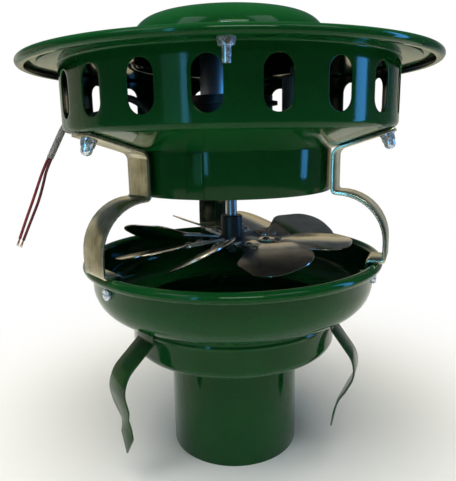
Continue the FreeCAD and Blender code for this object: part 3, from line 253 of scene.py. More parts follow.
@dataclass(frozen=True)
class Spangled(Finish):
    """A zinc coat that froze in crystals, each with its own brightness."""

    def pattern(self, tree: bpy.types.NodeTree, place: bpy.types.NodeSocket) -> bpy.types.NodeSocket:
        """Cells of one shade each, softened by a little noise."""
        cells = add_node(tree, "ShaderNodeTexVoronoi", {"Vector": place, "Scale": 1 / (self.size * MM)})
        shade = add_node(tree, "ShaderNodeSeparateColor", {0: cells.outputs["Color"]}).outputs[0]
        noise = add_node(tree, "ShaderNodeTexNoise",
                         {"Vector": place, "Scale": 3 / (self.size * MM)}).outputs[0]
        return add_node(tree, "ShaderNodeMix", {0: 0.6, 2: shade, 3: noise}).outputs[0]


# Gloss stoving enamel on pressed steel sheet: an almost even deep green with a faint orange peel that softens
# reflections, so that the eye sees long clean highlights on round walls.
ENAMEL = Finish("gloss_green_enamel", "green_enamel", "#115123", "#0c421b", (0.06, 0.13), 1.6, 0.002,
                patch=70.0, specular=0.35, glint="#a9aea2")
# The same enamel on the spring strips, thinner, rubbed by the flue and dulled.
LEG_ENAMEL = Streaked("rubbed_green_enamel", "dark_green_leg", "#1f4d22", "#133318", (0.14, 0.26), 0.8, 0.004,
                      patch=18.0, specular=0.35, glint="#c4c8bc")
# Zinc-plated rolled steel strip: a warm grey metal with long rolling marks and dull stains.
STRAP_ZINC = Streaked("zinc_plated_strip", "zinc_strap", "#d6cfb2", "#7d795f", (0.16, 0.28), 0.7, 0.002,
                      patch=15.0, metallic=1.0)
# Bright zinc on turned and headed fasteners: bluish, smooth, slightly mottled.
BRIGHT_ZINC = Spangled("bright_zinc_plate", "zinc_fastener", "#e8f0f8", "#a9b8c6", (0.18, 0.3), 3.0, 0.001,
                       patch=6.0, metallic=0.7)
# Rolled aluminium sheet, sheared and left bare: pale, with fine streaks and a little oxide bloom.
ALUMINIUM = Streaked("rolled_aluminium", "blade_aluminium", "#dccfc0", "#a99c8e", (0.12, 0.24), 0.6, 0.003,
                     patch=20.0, metallic=1.0)
# Cast iron housing under semi-gloss black paint: the sand's grain shows through.
CASTING = Finish("painted_casting", "black_casting", "#1c1d21", "#0e0f12", (0.34, 0.5), 0.9, 0.05, patch=12.0)
# Deep-drawn bright steel can: silver, with faint rings from the die.
DRAWN_CAN = Ringed("drawn_steel_can", "motor_silver", "#b6c0d2", "#a6b1c6", (0.3, 0.33), 2.4, 0.0005,
                   patch=25.0, metallic=1.0)
# Ground bearing steel: the brightest metal here, with very fine rings.
BEARING = Ringed("ground_bearing_steel", "bearing_steel", "#cfd0d4", "#b4b5b9", (0.12, 0.22), 0.5, 0.002,
                 metallic=1.0)
# Turned shaft: a dull bright steel with tool rings.
SHAFT = Ringed("turned_shaft_steel", "shaft_steel", "#acadaf", "#8b8c8e", (0.24, 0.38), 0.7, 0.006,
               metallic=1.0)
# Stacked core sheets, 0.5 mm each in truth, drawn at 1 mm so that the edge still reads as a stack.
LAMINATION = Banded("stacked_core_sheets", "core_iron", "#57585c", "#2a2b2e", (0.4, 0.6), 1.0, 0.05,
                    metallic=0.9)
# Lacquered winding wire, 0.7 mm: copper bands with a varnish gloss.
WINDING = Banded("lacquered_winding_wire", "winding_copper", "#a9572a", "#6b3016", (0.25, 0.4), 0.7, 0.12,
                 metallic=0.9, coat=0.6)
# Galvanised pressed plate: spangle of about 5 mm, cool grey.
GALVANISED = Spangled("galvanised_plate", "plate_steel", "#a7abb0", "#858a90", (0.32, 0.5), 5.0, 0.004,
                      patch=25.0, metallic=1.0)
# Moulded white plastic case, with a fine spark-eroded texture.
CAPACITOR = Finish("moulded_white_plastic", "capacitor_white", "#dcdcd6", "#cfcec6", (0.36, 0.46), 0.6, 0.01)
# Moulded black rubber: matt, slightly dusty.
RUBBER = Finish("moulded_black_rubber", "rubber_black", "#1a1a19", "#101010", (0.65, 0.85), 1.0, 0.02)
# Extruded soft vinyl on the cord's sheath and wires: even colour, a soft sheen, tiny waviness.
SHEATH = Finish("grey_vinyl_sheath", "sheath_grey", "#a5a19e", "#858280", (0.42, 0.56), 1.4, 0.004,
                patch=10.0)
WIRE_RED = Finish("red_vinyl_wire", "wire_red", "#92201f", "#701719", (0.4, 0.5), 1.6, 0.002, patch=14.0)
WIRE_BROWN = Finish("brown_vinyl_wire", "wire_brown", "#701f1d", "#541416", (0.4, 0.5), 1.6, 0.002,
                    patch=14.0)
# Bare twisted copper strands, freshly stripped.
STRANDS = Finish("bare_copper_strands", "strand_copper", "#cf9467", "#a8663d", (0.25, 0.4), 0.5, 0.01,
                 patch=3.0, metallic=1.0)


@dataclass
class Palette:
    """The finishes that were built so far, one material each."""

    built: dict[str, bpy.types.Material] = field(default_factory=dict)

    def of(self, finish: Finish) -> bpy.types.Material:
        """The material of a finish, made the first time it is asked for."""
        if finish.name not in self.built:
            self.built[finish.name] = finish.build()
        return self.built[finish.name]


PALETTE = Palette()


# Mesh tools

def rounded_wire(bm: BMesh, corners: Sequence[Corner], radii: Sequence[float], closed: bool = False) -> None:
    """Draw a line with rounded corners in the XZ plane.

    Args:
        bm: the mesh that gets the line.
        corners: the sharp corners, in millimetres.
        radii: one for each inner corner, or for every corner of a closed line.
        closed: whether the line comes back to its start.
    """
    points = [Vector((x * MM, 0.0, z * MM)) for x, z in corners]
    verts = [bm.verts.new(point) for point in points]
    count = len(points)
    for index in range(count if closed else count - 1):
        bm.edges.new((verts[index], verts[(index + 1) % count]))
    first = 0 if closed else 1
    for index, radius in zip(range(first, count if closed else count - 1), radii):
        before, corner, after = points[index - 1], points[index], points[(index + 1) % count]
        turn = math.pi - (before - corner).angle(after - corner)
        reach = radius * MM * math.tan(turn / 2) * 0.9999
        segments = max(4, round(math.degrees(turn) / 8))
        bmesh.ops.bevel(bm, geom=[verts[index]], affect="VERTICES", offset_type="OFFSET", offset=reach,
                        segments=segments, profile=0.5, material=-1)


def face_away(bm: BMesh, corners: Sequence[Corner], side: Side) -> None:
    """Join the doubles of a sheet and turn its faces away from the side that its wall will take.

    Args:
        bm: the sheet, drawn from a profile in the XZ plane.
        corners: the profile's corners, in millimetres.
        side: the side of the profile that the wall lies on.
    """
    bmesh.ops.remove_doubles(bm, verts=bm.verts, dist=2e-6)
    bmesh.ops.recalc_face_normals(bm, faces=bm.faces)
    start, end = (Vector((x * MM, 0.0, z * MM)) for x, z in corners[:2])
    along = end - start
    away = Vector((along.z, 0.0, -along.x)) * side.value
    nearest = min(bm.faces, key=lambda f: (f.calc_center_median() - (start + end) / 2).length)
    if nearest.normal.dot(away) < 0:
        bmesh.ops.reverse_faces(bm, faces=bm.faces)


def new_piece(name: str, bm: BMesh) -> bpy.types.Object:
    """Put a mesh in the scene as a piece of that name."""
    mesh = bpy.data.meshes.new(name)
    bm.to_mesh(mesh)
    bm.free()
    piece = bpy.data.objects.new(name, mesh)
    bpy.context.scene.collection.objects.link(piece)
    return piece


def settle(piece: bpy.types.Object, wall: float = 0.0, offset: float = -1.0, edge: float = 0.3,
           sharp: float = 35.0) -> bpy.types.Object:
    """Give a sheet its thickness and rounded edges, apply them and shade it.

    Args:
        piece: the sheet.
        wall: its thickness in millimetres, or 0 where it is solid already.
        offset: -1 for a wall behind the faces, 0 for one on both sides.
        edge: the width of the rounding at its edges, in millimetres.
        sharp: the angle above which an edge stays sharp, in degrees.

    Returns:
        The same piece.
    """
    if wall:
        thick = piece.modifiers.new("wall", "SOLIDIFY")
        thick.thickness, thick.offset = wall * MM, offset
        thick.use_even_offset = thick.use_quality_normals = True
    if edge:
        bevel = piece.modifiers.new("edge", "BEVEL")
        bevel.width, bevel.segments, bevel.profile = edge * MM, 2, 0.5
        bevel.limit_method, bevel.angle_limit = "ANGLE", math.radians(50)
    depsgraph = bpy.context.evaluated_depsgraph_get()
    mesh = bpy.data.meshes.new_from_object(piece.evaluated_get(depsgraph))
    piece.modifiers.clear()
    drawn, piece.data = piece.data, mesh
    bpy.data.meshes.remove(drawn)
    mesh.name = piece.name
    mesh.shade_smooth()
    mesh.set_sharp_from_angle(angle=math.radians(sharp))
    return piece


def dress(piece: bpy.types.Object, finish: Finish, *nodes: str,
          body: Body | None = Body.BASE) -> bpy.types.Object:
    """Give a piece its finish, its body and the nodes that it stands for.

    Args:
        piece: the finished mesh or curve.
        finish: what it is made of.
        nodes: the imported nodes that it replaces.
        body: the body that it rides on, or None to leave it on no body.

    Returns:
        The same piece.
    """
    piece.data.materials.append(PALETTE.of(finish))
    if body:
        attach(piece, body.value)
    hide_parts(*nodes)
    LOG.info("%s: %s, stands for %s", piece.name, finish.name, ", ".join(nodes) or "nothing else")
    return piece


def keep_grain(bm: BMesh) -> None:
    """Store each point's place in the flat drawing, for the streaks of rolled strip."""
    layer = bm.verts.layers.float_vector.new(GRAIN)
    for vert in bm.verts:
        vert[layer] = vert.co


# Shells

@dataclass
class SpunShell:
    """A round sheet-metal shell, spun from its profile."""

    name: str
    node: str
    corners: Sequence[Corner]
    radii: Sequence[float]
    side: Side
    wall: float = 1.2
    steps: int = 240

    def sheet(self) -> BMesh:
        """The profile spun once round the axis, facing away from its wall."""
        bm = bmesh.new()
        rounded_wire(bm, self.corners, self.radii)
        bmesh.ops.spin(bm, geom=bm.verts[:] + bm.edges[:], cent=(0, 0, 0), axis=(0, 0, 1), angle=2 * math.pi,
                       steps=self.steps, use_merge=True, use_duplicate=False)
        face_away(bm, self.corners, self.side)
        return bm

    def build(self) -> bpy.types.Object:
        """Make the shell and dress it."""
        return dress(settle(new_piece(self.name, self.sheet()), self.wall), ENAMEL, self.node)


@dataclass
class LowerShells:
    """The spigot, the beaded collar and the bowl with its rolled rim."""

    bead_r: float = 96.15
    bead_zs: tuple[float, ...] = (128.3, 135.9)
    bead_half: float = 2.1
    collar_r: float = 95.2

    def collar_corners(self) -> tuple[list[Corner], list[float]]:
        """The collar's profile with its two beads, and the corners' radii."""
        corners: list[Corner] = [(61.0, 88.3), (64.8, 88.3), (self.collar_r, 103.5)]
        radii = [2.0, 9.0]
        for z in self.bead_zs:
            low, high = z - self.bead_half, z + self.bead_half
            corners += [(self.collar_r, low), (self.bead_r, z), (self.collar_r, high)]
            radii += [1.6, 2.0, 1.6]
        return corners, radii[:-1]

    def build(self) -> None:
        """Make the three shells."""
        spigot = [(58.8, 0.0), (58.8, 88.2), (63.6, 88.2)]
        SpunShell("spigot_tube", "spigot", spigot, [2.2], Side.RIGHT).build()
        corners, radii = self.collar_corners()
        SpunShell("beaded_collar", "collar", corners, radii, Side.LEFT).build()
        bowl = [(92.6, 126.0), (92.6, 138.5), (127.3, 138.5), (127.3, 187.2), (136.5, 187.2), (136.5, 178.0),
                (130.5, 178.0)]
        SpunShell("open_bowl", "bowl", bowl, [1.2, 26.8, 4.6, 4.6, 4.6], Side.RIGHT).build()


@dataclass
class Neck:
    """The heat shield tube between the fan and the drum, rolled from sheet with a lapped seam."""

    seam_azimuth: float = -18.0
    seam_width: float = 14.0
    radius: float = 90.0
    seam_low: float = 246.2
    seam_high: float = 280.6
    seam_out: float = 1.0

    def seam_sheet(self) -> BMesh:
        """The lap's outer layer: a short arc of sheet on the tube."""
        bm = bmesh.new()
        half = math.degrees(self.seam_width / 2 / self.radius)
        low, high, face = self.seam_low * MM, self.seam_high * MM, (self.radius + self.seam_out) * MM
        ends = [bm.verts.new((face, 0.0, z)) for z in (low, high)]
        bm.edges.new(ends)
        bmesh.ops.rotate(bm, verts=bm.verts, cent=(0, 0, 0), matrix=turn_to(self.seam_azimuth - half))
        bmesh.ops.spin(bm, geom=bm.verts[:] + bm.edges[:], cent=(0, 0, 0), axis=(0, 0, 1),
                       angle=math.radians(2 * half), steps=8, use_merge=False, use_duplicate=False)
        bmesh.ops.recalc_face_normals(bm, faces=bm.faces)
        bm.faces.ensure_lookup_table()
        middle = bm.faces[0].calc_center_median()
        if bm.faces[0].normal.dot(Vector((middle.x, middle.y, 0.0))) < 0:
            bmesh.ops.reverse_faces(bm, faces=bm.faces)
        return bm

    def build(self) -> None:
        """Make the tube with its inward ledge, and the lap."""
        tube = [(90.0, 246.0), (90.0, 286.2), (78.0, 286.2)]
        SpunShell("neck_shield", "neck_tube", tube, [2.4], Side.LEFT).build()
        lap = settle(new_piece("neck_lap", self.seam_sheet()), self.seam_out + 0.1, edge=0.3)
        dress(lap, ENAMEL, "neck_tube")


@dataclass
class Drum:
    """The slotted motor drum: a conical floor, a wall with round-ended slots and a top flange."""

    radius: float = 144.0
    count: int = 20
    first_azimuth: float = 12.0
    slot_width: float = 20.0
    slot_low: float = 308.013
    slot_high: float = 343.5
    band_low: float = 306.0
    band_high: float = 347.0
    columns: int = 12
    rows: int = 24
    rings: int = 4
    floor: tuple[Corner, ...] = ((90.1, 290.0), (90.1, 281.0), (144.0, 298.5), (144.0, 306.0))
    flange: tuple[Corner, ...] = ((144.0, 347.0), (144.0, 351.0), (160.0, 351.0))

    def loop_points(self) -> tuple[list[Corner], list[Corner]]:
        """Matching points round one pitch of flat wall and round its slot, as (width, height)."""
        half = math.pi * self.radius / self.count
        low, high = self.band_low, self.band_high
        slot_r = self.slot_width / 2
        top, bottom = self.slot_high - slot_r, self.slot_low + slot_r
        outer: list[Corner] = []
        inner: list[Corner] = []
        quarter = self.rows // 4
        for i in range(self.columns):
            share = i / self.columns
            turn = math.radians(135.0 - 90.0 * share)
            outer.append((-half + 2 * half * share, high))
            inner.append((slot_r * math.cos(turn), top + slot_r * math.sin(turn)))
        for i in range(self.rows):
            outer.append((half, high - (high - low) * i / self.rows))
            if i < quarter:
                turn = math.radians(45.0 * (1 - i / quarter))
                inner.append((slot_r * math.cos(turn), top + slot_r * math.sin(turn)))
            elif i <= 3 * quarter:
                inner.append((slot_r, top - (top - bottom) * (i - quarter) / (2 * quarter)))
            else:
                turn = math.radians(-45.0 * (i / quarter - 3))
                inner.append((slot_r * math.cos(turn), bottom + slot_r * math.sin(turn)))
        middle = (low + high) / 2
        centre = (self.slot_low + self.slot_high) / 2
        outer += [(-x, 2 * middle - z) for x, z in outer]
        inner += [(-x, 2 * centre - z) for x, z in inner]
        return outer, inner

    def wall(self, bm: BMesh) -> None:
        """Add the slotted wall: one pitch bridged from its border to its slot, repeated round the drum."""
        outer, inner = self.loop_points()
        edges = []
        for points in (outer, inner):
            ring = bmesh.ops.create_circle(bm, cap_ends=False, radius=1.0, segments=len(points))["verts"]
            for vert, (x, z) in zip(ring, points):
                vert.co = (x * MM, 0.0, z * MM)
            edges += list({edge for vert in ring for edge in vert.link_edges})
        bridge = bmesh.ops.bridge_loops(bm, edges=edges)
        rungs = [edge for edge in bridge["edges"] if edge not in edges]
        bmesh.ops.subdivide_edges(bm, edges=rungs, cuts=self.rings, use_grid_fill=True)
        for vert in bm.verts:
            vert.co = polar(self.radius, self.first_azimuth + math.degrees(vert.co.x / (self.radius * MM)),
                            vert.co.z / MM)
        turns = self.count - 1
        bmesh.ops.spin(bm, geom=bm.verts[:] + bm.edges[:] + bm.faces[:], cent=(0, 0, 0), axis=(0, 0, 1),
                       angle=2 * math.pi * turns / self.count, steps=turns, use_merge=False,
                       use_duplicate=True)

    def sheet(self) -> BMesh:
        """The floor, wall and flange as one sheet."""
        bm = bmesh.new()
        self.wall(bm)
        steps = self.count * self.columns
        for corners, radii in ((self.floor, [2.4, 6.0]), (self.flange, [1.2])):
            band = bmesh.new()
            rounded_wire(band, corners, radii)
            bmesh.ops.spin(band, geom=band.verts[:] + band.edges[:], cent=(0, 0, 0), axis=(0, 0, 1),
                           angle=2 * math.pi, steps=steps, use_merge=True, use_duplicate=False)
            mesh = bpy.data.meshes.new("band")
            band.to_mesh(mesh)
            band.free()
            bm.from_mesh(mesh)
            bpy.data.meshes.remove(mesh)
        bmesh.ops.remove_doubles(bm, verts=bm.verts, dist=2e-5)
        face_away(bm, self.floor, Side.LEFT)
        return bm

    def build(self) -> None:
        """Make the drum."""
        dress(settle(new_piece("slotted_drum", self.sheet()), 1.2), ENAMEL, "drum_casing")


@dataclass
class RainHat:
    """The wide hat: a shallow dome on a sloping wall, a flat brim and a rolled-under edge."""

    corners: tuple[Corner, ...] = ((0.0, 392.5), (48.0, 392.5), (84.0, 387.0), (84.0, 353.4), (163.0, 353.4),
                                   (169.4, 355.0), (175.7, 355.0), (175.7, 348.2), (169.2, 348.2))
    radii: tuple[float, ...] = (250.0, 20.0, 5.0, 6.0, 6.0, 3.4, 3.4)

    def build(self) -> None:
        """Make the hat."""
        SpunShell("rain_hat", "hat", self.corners, self.radii, Side.RIGHT).build()


# Strips

@dataclass
class Strap:
    """One bent strip that carries the drum over the bowl."""

    side: str
    azimuth: float
    width: float = 32.0
    thick: float = 3.0
    corners: tuple[Corner, ...] = ((141.5, 297.6), (93.5, 282.0), (93.5, 243.5), (137.0, 243.5),
                                   (137.0, 190.3), (123.2, 190.3), (123.2, 165.0))
    radii: tuple[float, ...] = (9.0, 5.0, 38.4, 1.0, 4.5)

    def build(self) -> None:
        """Draw the profile, draw it out to the strip's width and bend it to its azimuth."""
        bm = bmesh.new()
        rounded_wire(bm, self.corners, self.radii)
        bmesh.ops.translate(bm, verts=bm.verts, vec=(0, -self.width / 2 * MM, 0))
        drawn = bmesh.ops.extrude_edge_only(bm, edges=bm.edges)["geom"]
        moved = [part for part in drawn if isinstance(part, bmesh.types.BMVert)]
        bmesh.ops.translate(bm, verts=moved, vec=(0, self.width * MM, 0))
        face_away(bm, self.corners, Side.LEFT)
        keep_grain(bm)
        bmesh.ops.transform(bm, matrix=turn_to(self.azimuth), verts=bm.verts)
        strip = settle(new_piece(f"strap_strip_{self.side}", bm), self.thick, edge=0.5)
        dress(strip, STRAP_ZINC, f"strap_{self.side}")


@dataclass
class SpringLeg:
    """One springy strip: riveted to the collar, out round a knee and down to a pointed foot."""

    side: str
    azimuth: float
    lean: float
    width: float = 26.0
    thick: float = 1.5
    corners: tuple[Corner, ...] = ((96.85, 137.3), (96.85, 123.5), (129.5, 96.6), (119.3, 52.0),
                                   (121.0, 24.5))
    radii: tuple[float, ...] = (2.2, 25.0, 40.0)
    outline: tuple[Corner, ...] = ((71.0, 13.0), (59.0, 6.0), (43.0, 10.0), (26.0, 0.0))
    bend_reach: float = 1.0
    bend_length: float = 3.0

    def half_width(self, z: float) -> float:
        """Half of the strip's width at a height, in millimetres."""
        for (high, wide), (low, narrow) in zip(self.outline, self.outline[1:]):
            if low <= z <= high:
                return narrow + (wide - narrow) * (z - low) / (high - low)
        return self.outline[0][1] if z > self.outline[0][0] else 0.0

    def leaned(self, point: Vector) -> Vector:
        """A point of the strip with the part below the bend turned inwards."""
        pivot = Vector((self.corners[1][0], 0.0, self.corners[1][1])) * MM
        share = smooth((pivot.z + self.bend_reach * MM - point.z) / (self.bend_length * MM))
        return pivot + Matrix.Rotation(math.radians(self.lean) * share, 3, "Y") @ (point - pivot)

    def build(self) -> None:
        """Draw the strip, cut its outline, lean it and blend it across the springy bend."""
        bm = bmesh.new()
        rounded_wire(bm, self.corners, self.radii)
        bmesh.ops.translate(bm, verts=bm.verts, vec=(0, -self.width / 2 * MM, 0))
        drawn = bmesh.ops.extrude_edge_only(bm, edges=bm.edges)["geom"]
        moved = [part for part in drawn if isinstance(part, bmesh.types.BMVert)]
        bmesh.ops.translate(bm, verts=moved, vec=(0, self.width * MM, 0))
        tip = self.outline[-1][0]
        for z, _ in self.outline:
            bmesh.ops.bisect_plane(bm, geom=bm.verts[:] + bm.edges[:] + bm.faces[:], dist=1e-7,
                                   plane_co=(0, 0, z * MM), plane_no=(0, 0, 1), clear_inner=z == tip)
        for vert in bm.verts:
            vert.co.y = math.copysign(self.half_width(vert.co.z / MM) * MM, vert.co.y)
        face_away(bm, self.corners, Side.LEFT)
        keep_grain(bm)
        for vert in bm.verts:
            vert.co = self.leaned(vert.co)
        bmesh.ops.transform(bm, matrix=turn_to(self.azimuth), verts=bm.verts)
        strip = settle(new_piece(f"spring_strip_{self.side}", bm), self.thick, offset=0.0, edge=0.25)
        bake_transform(strip)
        dress(strip, LEG_ENAMEL, f"leg_tab_{self.side}", f"spring_leg_{self.side}", body=None)


# Fan

@dataclass
class Paddles:
    """The flat blades, riveted to the spider's arms, which were twisted and bent by hand."""

    first_azimuth: float = 26.0
    pitches: tuple[float, ...] = (14.0, 3.0, 24.0, 22.0, 22.0, 26.0, 11.0, 26.0)
    lifts: tuple[float, ...] = (-4.0, 0.0, 0.0, 0.0, 0.0, 0.0, -5.0, 0.0)
    bend_r: float = 19.0
    z: float = 198.0
    seat: float = 1.05
    thick: float = 1.2
    corners: tuple[Corner, ...] = ((27.0, -8.5), (27.0, 8.5), (44.0, 8.5), (61.86, 28.0), (110.0, 28.0),
                                   (110.0, -28.0), (61.86, -28.0), (44.0, -8.5))
    radii: tuple[float, ...] = (4.0, 4.0, 10.0, 14.0, 24.0, 24.0, 14.0, 10.0)

    def blade(self, index: int) -> None:
        """Cut one blade, twist and bend it with its arm and turn it to its place."""
        bm = bmesh.new()
        rounded_wire(bm, self.corners, self.radii, closed=True)
        face = bmesh.ops.contextual_create(bm, geom=bm.edges[:])["faces"]
        drawn = bmesh.ops.extrude_face_region(bm, geom=face)["geom"]
        moved = [part for part in drawn if isinstance(part, bmesh.types.BMVert)]
        bmesh.ops.translate(bm, verts=moved, vec=(0, self.thick * MM, 0))
        bmesh.ops.rotate(bm, verts=bm.verts, cent=(0, 0, 0), matrix=Matrix.Rotation(math.pi / 2, 3, "X"))
        bmesh.ops.recalc_face_normals(bm, faces=bm.faces)
        low = min(vert.co.z for vert in bm.verts)
        bmesh.ops.translate(bm, verts=bm.verts, vec=(0, 0, self.seat * MM - low))
        keep_grain(bm)
        azimuth = self.first_azimuth + index * 360.0 / len(self.pitches)
        bend = Vector((self.bend_r, 0, 0)) * MM
        arm = (Matrix.Translation(bend) @ Matrix.Rotation(math.radians(-self.lifts[index]), 4, "Y")
               @ Matrix.Translation(-bend) @ Matrix.Rotation(math.radians(self.pitches[index]), 4, "X"))
        place = turn_to(azimuth) @ Matrix.Translation((0, 0, self.z * MM)) @ arm
        bmesh.ops.transform(bm, matrix=place, verts=bm.verts)
        blade = settle(new_piece(f"paddle_{index + 1}", bm), edge=0.25)
        dress(blade, ALUMINIUM, f"fan_blade_{index + 1}", body=Body.ROTOR)

    def build(self) -> None:
        """Make all the blades."""
        for index in range(len(self.pitches)):
            self.blade(index)


# Lead and cord

@dataclass
class Wire:
    """A flexible round wire or cord along a smooth line."""

    name: str
    node: str
    finish: Finish
    diameter: float
    points: Sequence[Point]

    def build(self) -> bpy.types.Object:
        """Make the wire as one smooth spline and dress it."""
        curve = bpy.data.curves.new(self.name, "CURVE")
        curve.dimensions = "3D"
        spline = curve.splines.new("NURBS")
        spline.points.add(len(self.points) - 1)
        for target, (x, y, z) in zip(spline.points, self.points):
            target.co = (x * MM, y * MM, z * MM, 1.0)
        spline.order_u = 3
        spline.use_endpoint_u = True
        curve.resolution_u = 16
        curve.bevel_depth = self.diameter / 2 * MM
        curve.bevel_resolution = 6
        curve.use_fill_caps = True
        piece = bpy.data.objects.new(self.name, curve)
        bpy.context.scene.collection.objects.link(piece)
        return dress(piece, self.finish, self.node)


@dataclass
class BareEnd:
    """The stripped end of a wire: a loosely spread bundle of copper strands."""

    name: str
    start: Point
    before: Point
    count: int = 7
    length: float = 8.0
    strand_r: float = 0.26
    spread: float = 0.55

    def build(self) -> bpy.types.Object:
        """Draw each strand from a small ring, a little further out at its tip."""
        end = Vector(self.start)
        ahead = (end - Vector(self.before)).normalized()
        frame_turn = ahead.to_track_quat("Z", "Y").to_matrix().to_4x4()
        bm = bmesh.new()
        for index in range(self.count):
            out = 0.0 if index == 0 else 1.0
            turn = 2 * math.pi * index / (self.count - 1)
            aside = Vector((math.cos(turn), math.sin(turn), 0.0)) * out
            ring = bmesh.ops.create_circle(bm, cap_ends=True, radius=self.strand_r * MM, segments=8)["verts"]
            bmesh.ops.translate(bm, verts=ring, vec=aside * self.spread * MM)
            face = [f for f in bm.faces if set(f.verts) == set(ring)]
            for step in range(4):
                drawn = bmesh.ops.extrude_face_region(bm, geom=face)["geom"]
                if step:
                    bmesh.ops.delete(bm, geom=face, context="FACES_ONLY")
                face = [part for part in drawn if isinstance(part, bmesh.types.BMFace)]
                moved = [part for part in drawn if isinstance(part, bmesh.types.BMVert)]
                tangent = Vector((-aside.y, aside.x, 0.0))
                shift = aside * 0.03 * step + tangent * 0.22 + Vector((0.0, 0.0, self.length / 4))
                bmesh.ops.translate(bm, verts=moved, vec=shift * MM)
        bmesh.ops.recalc_face_normals(bm, faces=bm.faces)
        place = Matrix.Translation((end - ahead * 0.4) * MM) @ frame_turn
        bmesh.ops.transform(bm, matrix=place, verts=bm.verts)
        return dress(settle(new_piece(self.name, bm), edge=0.0), STRANDS, "wire_ends")


@dataclass
class Cords:
    """The cord outside the drum, with its two wires, and the lead that crosses inside to the motor."""

    sheath: tuple[Point, ...] = ((-134.70, 36.09, 314.01), (-147.98, 39.65, 314.01), (-160.99, 41.97, 306.51),
                                 (-169.49, 42.97, 291.51), (-178.99, 43.47, 274.51))
    wire_a: tuple[Point, ...] = ((-180.31, 43.47, 275.13), (-186.45, 43.80, 264.14), (-192.59, 43.37, 250.01),
                                 (-199.79, 42.97, 232.51), (-207.99, 41.97, 214.01), (-216.39, 40.97, 193.51))
    wire_b: tuple[Point, ...] = ((-177.77, 43.47, 273.72), (-183.92, 43.80, 262.72), (-187.39, 42.97, 250.51),
                                 (-193.59, 42.17, 232.01), (-203.19, 40.97, 212.01), (-212.39, 39.97, 192.01))
    lead: tuple[Point, ...] = ((-134.60, 36.07, 314.01), (-123.64, 33.13, 314.01), (-111.03, 25.0, 323.51),
                               (-95.98, 13.5, 330.01), (-80.51, 4.5, 323.51), (-67.04, 0.8, 308.51),
                               (-53.48, 0.0, 300.01), (-38.4, 0.0, 299.01))

    def build(self) -> None:
        sheath = Wire("cord_jacket", "cord_sheath", SHEATH, 6.5, self.sheath).build()
        wires = (("a", WIRE_RED, self.wire_a, 0.0894), ("b", WIRE_BROWN, self.wire_b, 0.0890))
        for name, finish, points, length in wires:
            wire = Wire(f"core_wire_{name}", f"cord_wire_{name}", finish, 2.8, points).build()
            end = BareEnd(f"bare_end_{name}", points[-1], points[-2]).build()
        Wire("drum_lead", "motor_lead", SHEATH, 6.5, self.lead).build()


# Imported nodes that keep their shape

@dataclass
class Hardware:
    """The motor, hub, spider and fasteners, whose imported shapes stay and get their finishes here."""

    finishes: dict[Finish, tuple[str, ...]] = field(default_factory=lambda: {
        BRIGHT_ZINC: ("hat_washers", "hat_bolts", "hat_nuts", "plate_bolts", "plate_nuts", "motor_screws",
                      "hub_set_screw", "fan_washer", "fan_nut", "strap_bolts", "strap_washers",
                      "strap_acorn_nuts", "strap_foot_bolts", "strap_foot_nuts"),
        ENAMEL: ("leg_rivets",),
        GALVANISED: ("neck_baffle", "motor_plate", "capacitor_clip", "fan_spider"),
        CASTING: ("motor_body", "motor_bell", "fan_hub"),
        DRAWN_CAN: ("motor_can",),
        BEARING: ("lower_bearing", "upper_bearing"),
        LAMINATION: ("stator_core", "rotor_core"),
        WINDING: ("stator_coils",),
        CAPACITOR: ("capacitor",),
        SHAFT: ("motor_shaft", "blade_rivets"),
        RUBBER: ("lead_grommet",),
    })

    def build(self) -> None:
        """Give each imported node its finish."""
        for finish, names in self.finishes.items():
            for name in names:
                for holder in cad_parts[name].material_slots:
                    holder.material = PALETTE.of(finish)
            LOG.info("%s: %s", finish.name, ", ".join(names))


# Studio

@dataclass(frozen=True)
class Lamp:
    """A soft rectangular lamp that faces the object."""

    name: str
    azimuth: float
    distance: float
    height: float
    size: tuple[float, float]
    power: float
    colour: str = "#ffffff"
    aim: float = 0.22
    rays: Rays = Rays.ALL

    def build(self) -> None:
        """Hang the lamp and turn it to the object."""
        data = bpy.data.lights.new(self.name, "AREA")
        data.shape = "RECTANGLE"
        data.size, data.size_y = self.size
        data.energy = self.power
        data.color = linear(self.colour)[:3]
        lamp = bpy.data.objects.new(self.name, data)
        bpy.context.scene.collection.objects.link(lamp)
        lamp.location = polar(self.distance / MM, self.azimuth, self.height / MM)
        lamp.rotation_euler = (Vector((0, 0, self.aim)) - lamp.location).to_track_quat("-Z", "Y").to_euler()
        lamp.visible_camera = False
        lamp.visible_diffuse = self.rays is not Rays.GLOSS
        lamp.visible_glossy = self.rays is not Rays.DIFFUSE


